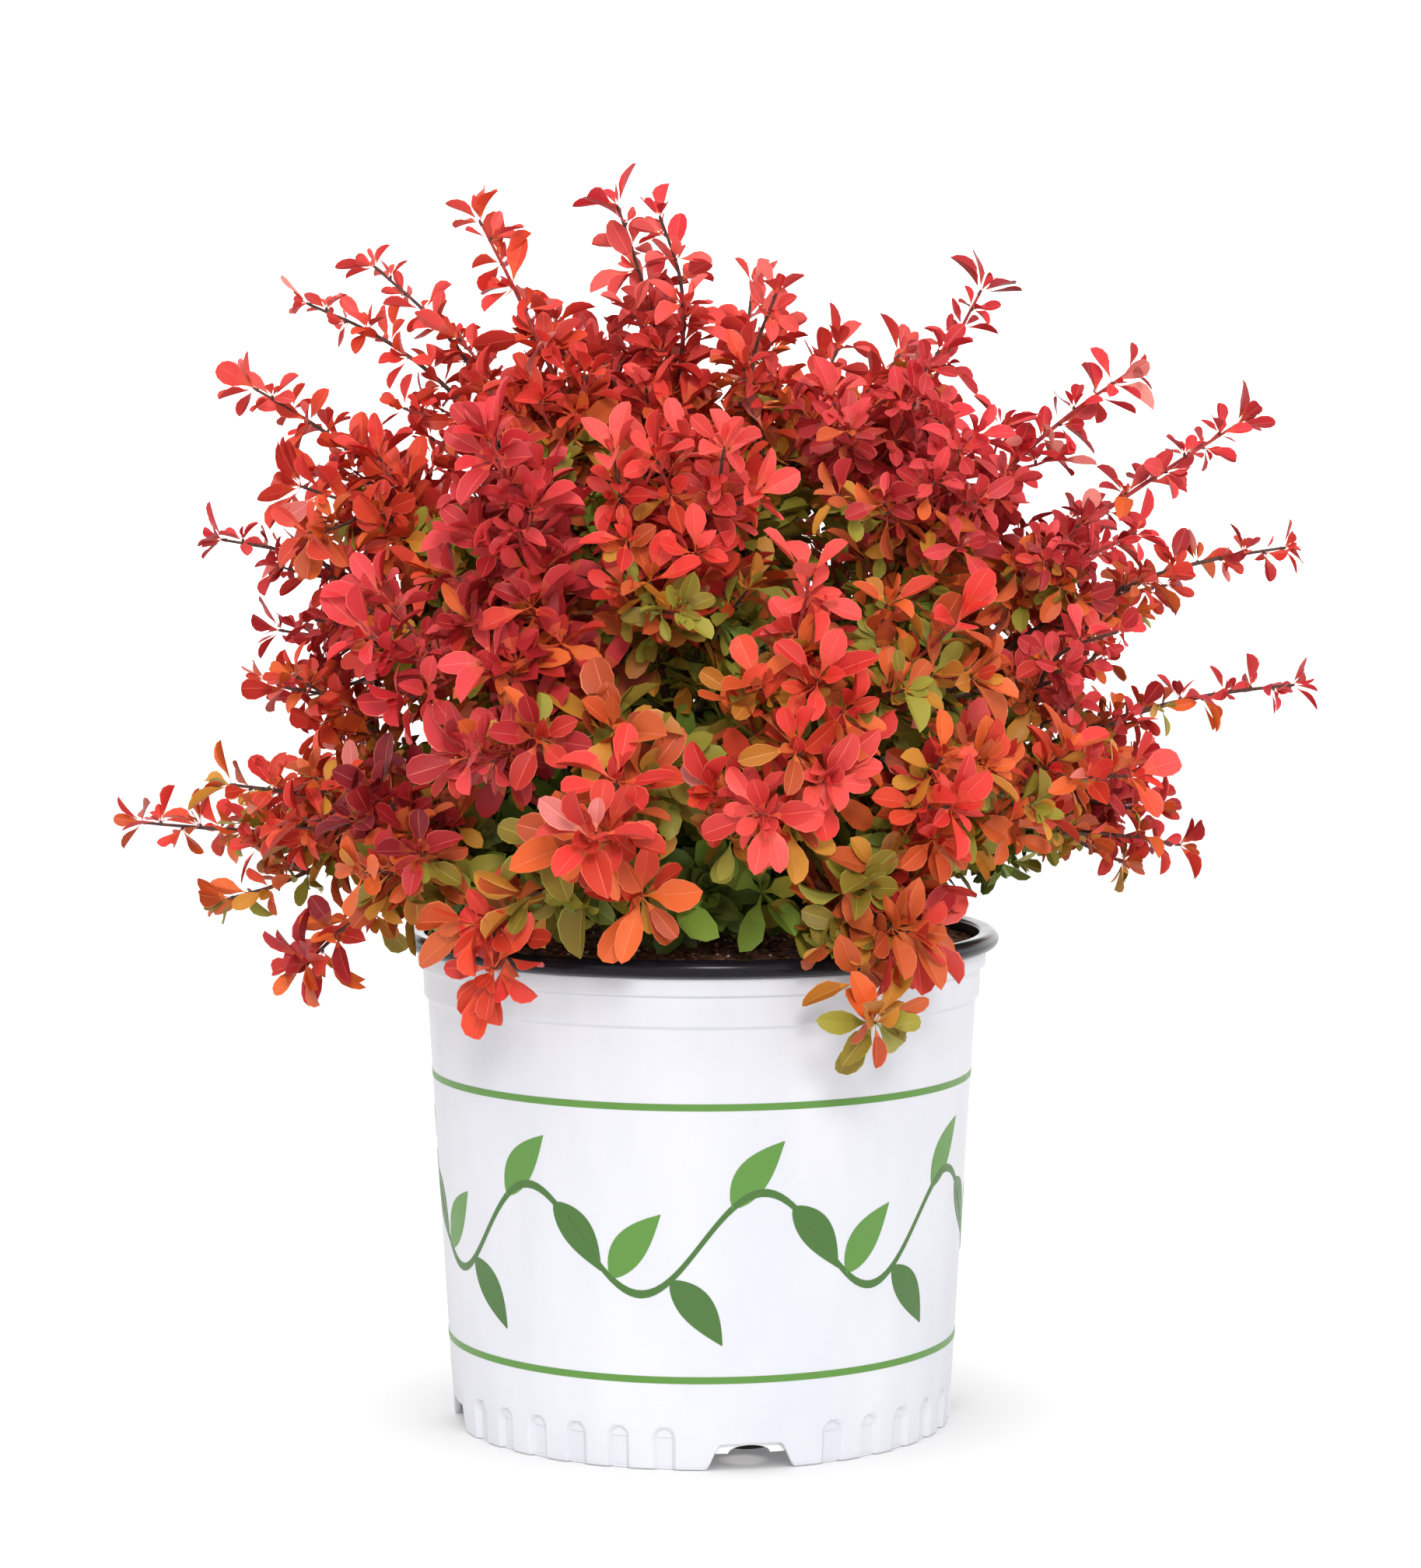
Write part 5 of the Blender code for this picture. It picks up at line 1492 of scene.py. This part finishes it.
def build_lip():
    """The glossy black rolled rim, with its skirt inside the pot's wall."""
    middle = (LIP_TOP + LIP_BOTTOM) / 2
    half_height = (LIP_TOP - LIP_BOTTOM) / 2
    outer_middle = LIP_RADIUS - half_height
    roll = []
    for step in range(LIP_ROLL_STEPS + 1):
        angle = math.radians(90 - 180 * step / LIP_ROLL_STEPS)
        roll.append((outer_middle + half_height * math.cos(angle), middle + half_height * math.sin(angle)))
    skirt_outer = LIP_INNER_RADIUS + LIP_SKIRT_WALL
    inner = [(LIP_INNER_RADIUS, LIP_SKIRT_BOTTOM), (LIP_INNER_RADIUS, LIP_TOP - LIP_SHOULDER_DROP), roll[0]]
    under = [(skirt_outer, LIP_BOTTOM), (skirt_outer, LIP_SKIRT_BOTTOM), (LIP_INNER_RADIUS, LIP_SKIRT_BOTTOM)]
    points, triangles = revolved(softened(inner, LIP_CORNER_RADIUS) + roll[1:] + under, LIP_STEPS)
    black = plain_material("lip_black", (0.0085, 0.0075, 0.0105), (0.16, 0.24), 60.0, 0.06, 0.0004, 0.16)
    mesh = mesh_of("rolled_lip", [(points, triangles[:, ::-1])], [black])
    add_piece("rolled_lip", cleaned(mesh, SHARP_FROM), ["pot_lip"])


def soil_height(x, y):
    """Height of the uneven soil at a place."""
    edge = LIP_INNER_RADIUS - CLEARANCE
    fall = max(0.0, (math.hypot(x, y) - SOIL_FLAT_RADIUS) / (edge - SOIL_FLAT_RADIUS))
    level = SOIL_CENTRE_TOP + (SOIL_EDGE_TOP - SOIL_CENTRE_TOP) * fall
    lumps = noise.noise(Vector((x, y, 0)) * LUMP_FINENESS)
    lumps += noise.noise(Vector((x, y, 0.3)) * CLOD_FINENESS) / 2
    return level + lumps * SOIL_ROUGHNESS - SOIL_SINK


def build_soil():
    """Crumbly peat that fills the pot."""
    edge = LIP_INNER_RADIUS - CLEARANCE
    lower_band_inner = LOWER_BAND_RADIUS - POT_WALL - CLEARANCE
    foot_inner = body_radius(FLOOR_TOP) - POT_WALL - CLEARANCE
    profile = [(edge * ring / SOIL_RINGS, SOIL_EDGE_TOP) for ring in range(SOIL_RINGS + 1)]
    profile += [
        (edge, LIP_SKIRT_BOTTOM),
        (lower_band_inner, UPPER_BAND_BOTTOM),
        (lower_band_inner, COLLAR_BOTTOM + BAND_CHAMFER),
        (BODY_TOP_RADIUS - POT_WALL - CLEARANCE, COLLAR_BOTTOM),
        (foot_inner, FLOOR_TOP + CLEARANCE),
        (0.0, FLOOR_TOP + CLEARANCE),
    ]
    points, triangles = revolved(profile, SOIL_STEPS)
    top = points[:, 2] > LIP_SKIRT_BOTTOM
    points[top, 2] = [soil_height(x, y) for x, y in points[top, :2]]
    browns = ((0.34, linear((74, 47, 35))), (0.52, linear((148, 98, 74))), (0.70, linear((196, 144, 110))))
    peat = mottled_material("peat", browns, (0.82, 1.0), 420.0, 0.9, 0.0012)
    add_joined("peat", [(points, triangles)], [peat], ["potting_soil"])


def crumb(dice, is_grain):
    """A bark chip or a rounder white grain, at a random place on the soil."""
    radius = math.sqrt(dice.uniform(*CRUMB_SPREAD)) * (LIP_INNER_RADIUS - CLEARANCE - CRUMB_FROM_EDGE)
    angle = dice.uniform(0, 2 * math.pi)
    x, y = radius * math.sin(angle), -radius * math.cos(angle)
    if is_grain:
        size = dice.uniform(*GRAIN_RADII)
        scale = (size, size, size * GRAIN_FLATNESS)
    else:
        scale = tuple(dice.uniform(*span) for span in CHIP_SIZES)
    over, along = (dice.gauss(0, tilt) for tilt in CRUMB_TILTS)
    tilt = Matrix.Rotation(over, 4, "X") @ Matrix.Rotation(along, 4, "Y")
    spin = Matrix.Rotation(dice.uniform(0, 2 * math.pi), 4, "Z")
    lift = Matrix.Translation((x, y, soil_height(x, y) + scale[2] / 2))
    shape = bmesh.new()
    bmesh.ops.create_icosphere(shape, subdivisions=1, radius=1.0)
    for vert in shape.verts:
        vert.co *= dice.uniform(*CRUMB_JOLTS)
    shape.transform(lift @ spin @ tilt @ Matrix.Diagonal((*scale, 1)))
    shape.verts.index_update()
    points = np.array([tuple(vert.co) for vert in shape.verts])
    triangles = np.array([[vert.index for vert in face.verts] for face in shape.faces])
    shape.free()
    return points, triangles


def build_crumbs():
    """Bark chips and white grains that lie in the soil."""
    dice = random.Random(SEED + 900)
    chips = [crumb(dice, False) for _ in range(CHIP_COUNT)]
    grains = [crumb(dice, True) for _ in range(GRAIN_COUNT)]
    browns = ((0.36, linear((78, 46, 34))), (0.55, linear((152, 96, 68))), (0.72, linear((196, 146, 110))))
    bark_chip = mottled_material("bark_chip", browns, (0.75, 0.95), 500.0, 0.5, 0.0006)
    white_grain = plain_material("white_grain", linear((228, 220, 208)), (0.75, 0.95), 900.0, 0.4, 0.0004)
    for name, parts, surface in (("soil_chips", chips, bark_chip), ("soil_grains", grains, white_grain)):
        add_joined(name, parts, [surface])


def wall_plate(edges):
    """A thin plate on the pot's body, from pairs of points on its two edges.

    A point is its share of the way round the pot and its height.
    """
    rings = []
    for first, second in edges:
        corners = (
            (first, PATTERN_PROUD), (second, PATTERN_PROUD), (second, -PATTERN_SUNK), (first, -PATTERN_SUNK)
        )
        rings.append([
            place(360 * share, body_radius(height) + proud, height) for (share, height), proud in corners
        ])
    return bar(rings)


def band(height_at, width):
    """A band all round the wall, whose middle runs at a height given by a function."""
    shares = [step / PATTERN_STEPS for step in range(PATTERN_STEPS + 1)]
    return wall_plate([
        ((share, height_at(share) - width / 2), (share, height_at(share) + width / 2)) for share in shares
    ])


def stem_height(share):
    """Height of the running stem at a share of the way round."""
    middle = (PATTERN_LOW + PATTERN_HIGH) / 2
    return middle + PATTERN_SWING * math.sin(2 * math.pi * PATTERN_WAVES * share)


def pattern_leaf(share, height, lean):
    """A pointed leaf that leaves the stem at an angle."""
    around = 2 * math.pi * body_radius(height)
    edges = []
    for step in range(PATTERN_LEAF_STEPS + 1):
        t = step / PATTERN_LEAF_STEPS
        swell = math.sin(math.pi * t ** PATTERN_LEAF_SKEW) ** PATTERN_LEAF_FULLNESS
        half = max(PATTERN_LEAF_WIDTH / 2 * swell, PATTERN_LEAST_HALF)
        forward = PATTERN_LEAF_LENGTH * t
        bow = PATTERN_LEAF_BOW * forward * (1 - t)
        pair = []
        for lift in (bow - half, bow + half):
            along = forward * math.cos(lean) - lift * math.sin(lean)
            up = forward * math.sin(lean) + lift * math.cos(lean)
            pair.append((share + along / around, height + up))
        edges.append(pair)
    return wall_plate(edges)


def build_pattern():
    light = [band(lambda share: PATTERN_LOW, PATTERN_RING_WIDTH)]
    light.append(band(lambda share: PATTERN_HIGH, PATTERN_RING_WIDTH))
    dark = [band(stem_height, PATTERN_STEM_WIDTH)]
    leaf_count = PATTERN_WAVES * PATTERN_LEAVES_IN_WAVE
    for number in range(leaf_count):
        share = (number + 0.5) / leaf_count
        parts, lean = (light, PATTERN_LEAF_LEAN) if number % 2 == 0 else (dark, -PATTERN_LEAF_LEAN)
        parts.append(pattern_leaf(share, stem_height(share), math.radians(lean)))
    for name, parts, colour in (
        ("pattern_light_green", light, (82, 128, 52)),
        ("pattern_dark_green", dark, (62, 100, 42)),
    ):
        ink = plain_material(name, linear(colour), (0.34, 0.46), 300.0, 0.05, 0.0002, 0.42)
        add_piece(name, cleaned(mesh_of(name, parts, [ink]), sharp_from=40, weld=False))


def glowing_white(name, base, glow):
    """A matt white that also gives off a little light, as a lit studio sweep does."""
    made, _, shader = shader_of(name)
    set_inputs(shader, Base_Color=(base, base, base, 1.0), Roughness=0.9, Specular_IOR_Level=0.0)
    set_inputs(shader, Emission_Color=(1.0, 1.0, 1.0, 1.0), Emission_Strength=glow)
    return made


def build_sun(name, azimuth, elevation, strength, softness):
    lamp = bpy.data.lights.new(name, "SUN")
    lamp.energy = strength
    lamp.angle = math.radians(softness)
    obj = new_object(name, lamp)
    obj.rotation_mode = "QUATERNION"
    obj.rotation_quaternion = (-heading(azimuth, elevation)).to_track_quat("-Z", "Y")
    return obj


def collection_of(name, *objects):
    made = bpy.data.collections.new(name)
    for obj in objects:
        made.objects.link(obj)
    return made


def build_stage():
    """A white floor, a low white wall far round it, a dimmer white sky, and soft lights."""
    bpy.ops.mesh.primitive_circle_add(
        vertices=STAGE_STEPS, radius=WALL_DISTANCE, fill_type="NGON", location=(0, 0, FLOOR_LEVEL)
    )
    floor = bpy.context.object
    floor.name = "floor"
    floor.data.materials.append(glowing_white("floor_white", 0.86, 0.10))
    bpy.ops.mesh.primitive_cylinder_add(
        vertices=STAGE_STEPS, radius=WALL_DISTANCE, depth=WALL_HEIGHT, end_fill_type="NOTHING",
        location=(0, 0, WALL_HEIGHT / 2 + WALL_FOOT),
    )
    wall = bpy.context.object
    wall.name = "studio_wall"
    wall.data.materials.append(glowing_white("wall_white", 0.5, 1.0))
    world = bpy.data.worlds.new("studio")
    world.use_nodes = True
    set_inputs(world.node_tree.nodes["Background"], Color=(1.0, 1.0, 1.0, 1.0), Strength=SKY_STRENGTH)
    bpy.context.scene.world = world
    all_but_floor = collection_of("all_but_the_floor", floor)
    all_but_floor.collection_objects[0].light_linking.link_state = "EXCLUDE"
    for name, light in (("key", KEY_LIGHT), ("overhead", OVERHEAD_LIGHT)):
        build_sun(name, *light).light_linking.receiver_collection = all_but_floor
    floor_sun = build_sun("floor_light", *FLOOR_LIGHT)
    floor_sun.light_linking.receiver_collection = collection_of("only_the_floor", floor)
    pot_pieces = [bpy.data.objects[name] for name in ("pot_moulding", "rolled_lip")]
    floor_sun.light_linking.blocker_collection = collection_of("only_the_pot", *pot_pieces)
    bpy.context.scene.view_settings.view_transform = "Standard"


def build_camera():
    camera = bpy.data.cameras.new("camera")
    camera.lens = CAMERA_LENS
    camera.sensor_width = CAMERA_SENSOR
    camera.clip_start = 0.01
    camera.clip_end = 100
    obj = new_object("camera", camera)
    obj.location = CAMERA_PLACE
    obj.rotation_euler = (math.radians(90 - CAMERA_DIP), 0, 0)
    bpy.context.scene.camera = obj


def main():
    build_camera()
    build_pot()
    build_drain_slots()
    build_lip()
    build_stage()
    build_soil()
    build_crumbs()
    build_pattern()
    build_root_crown()
    masses = plan_masses()
    crown = Crown(masses)
    grow_branches(masses, crown)
    sprays = grow_sprays(masses)
    build_wood(masses, sprays)
    build_spines(sprays)
    build_leaves(sprays, crown)


main()
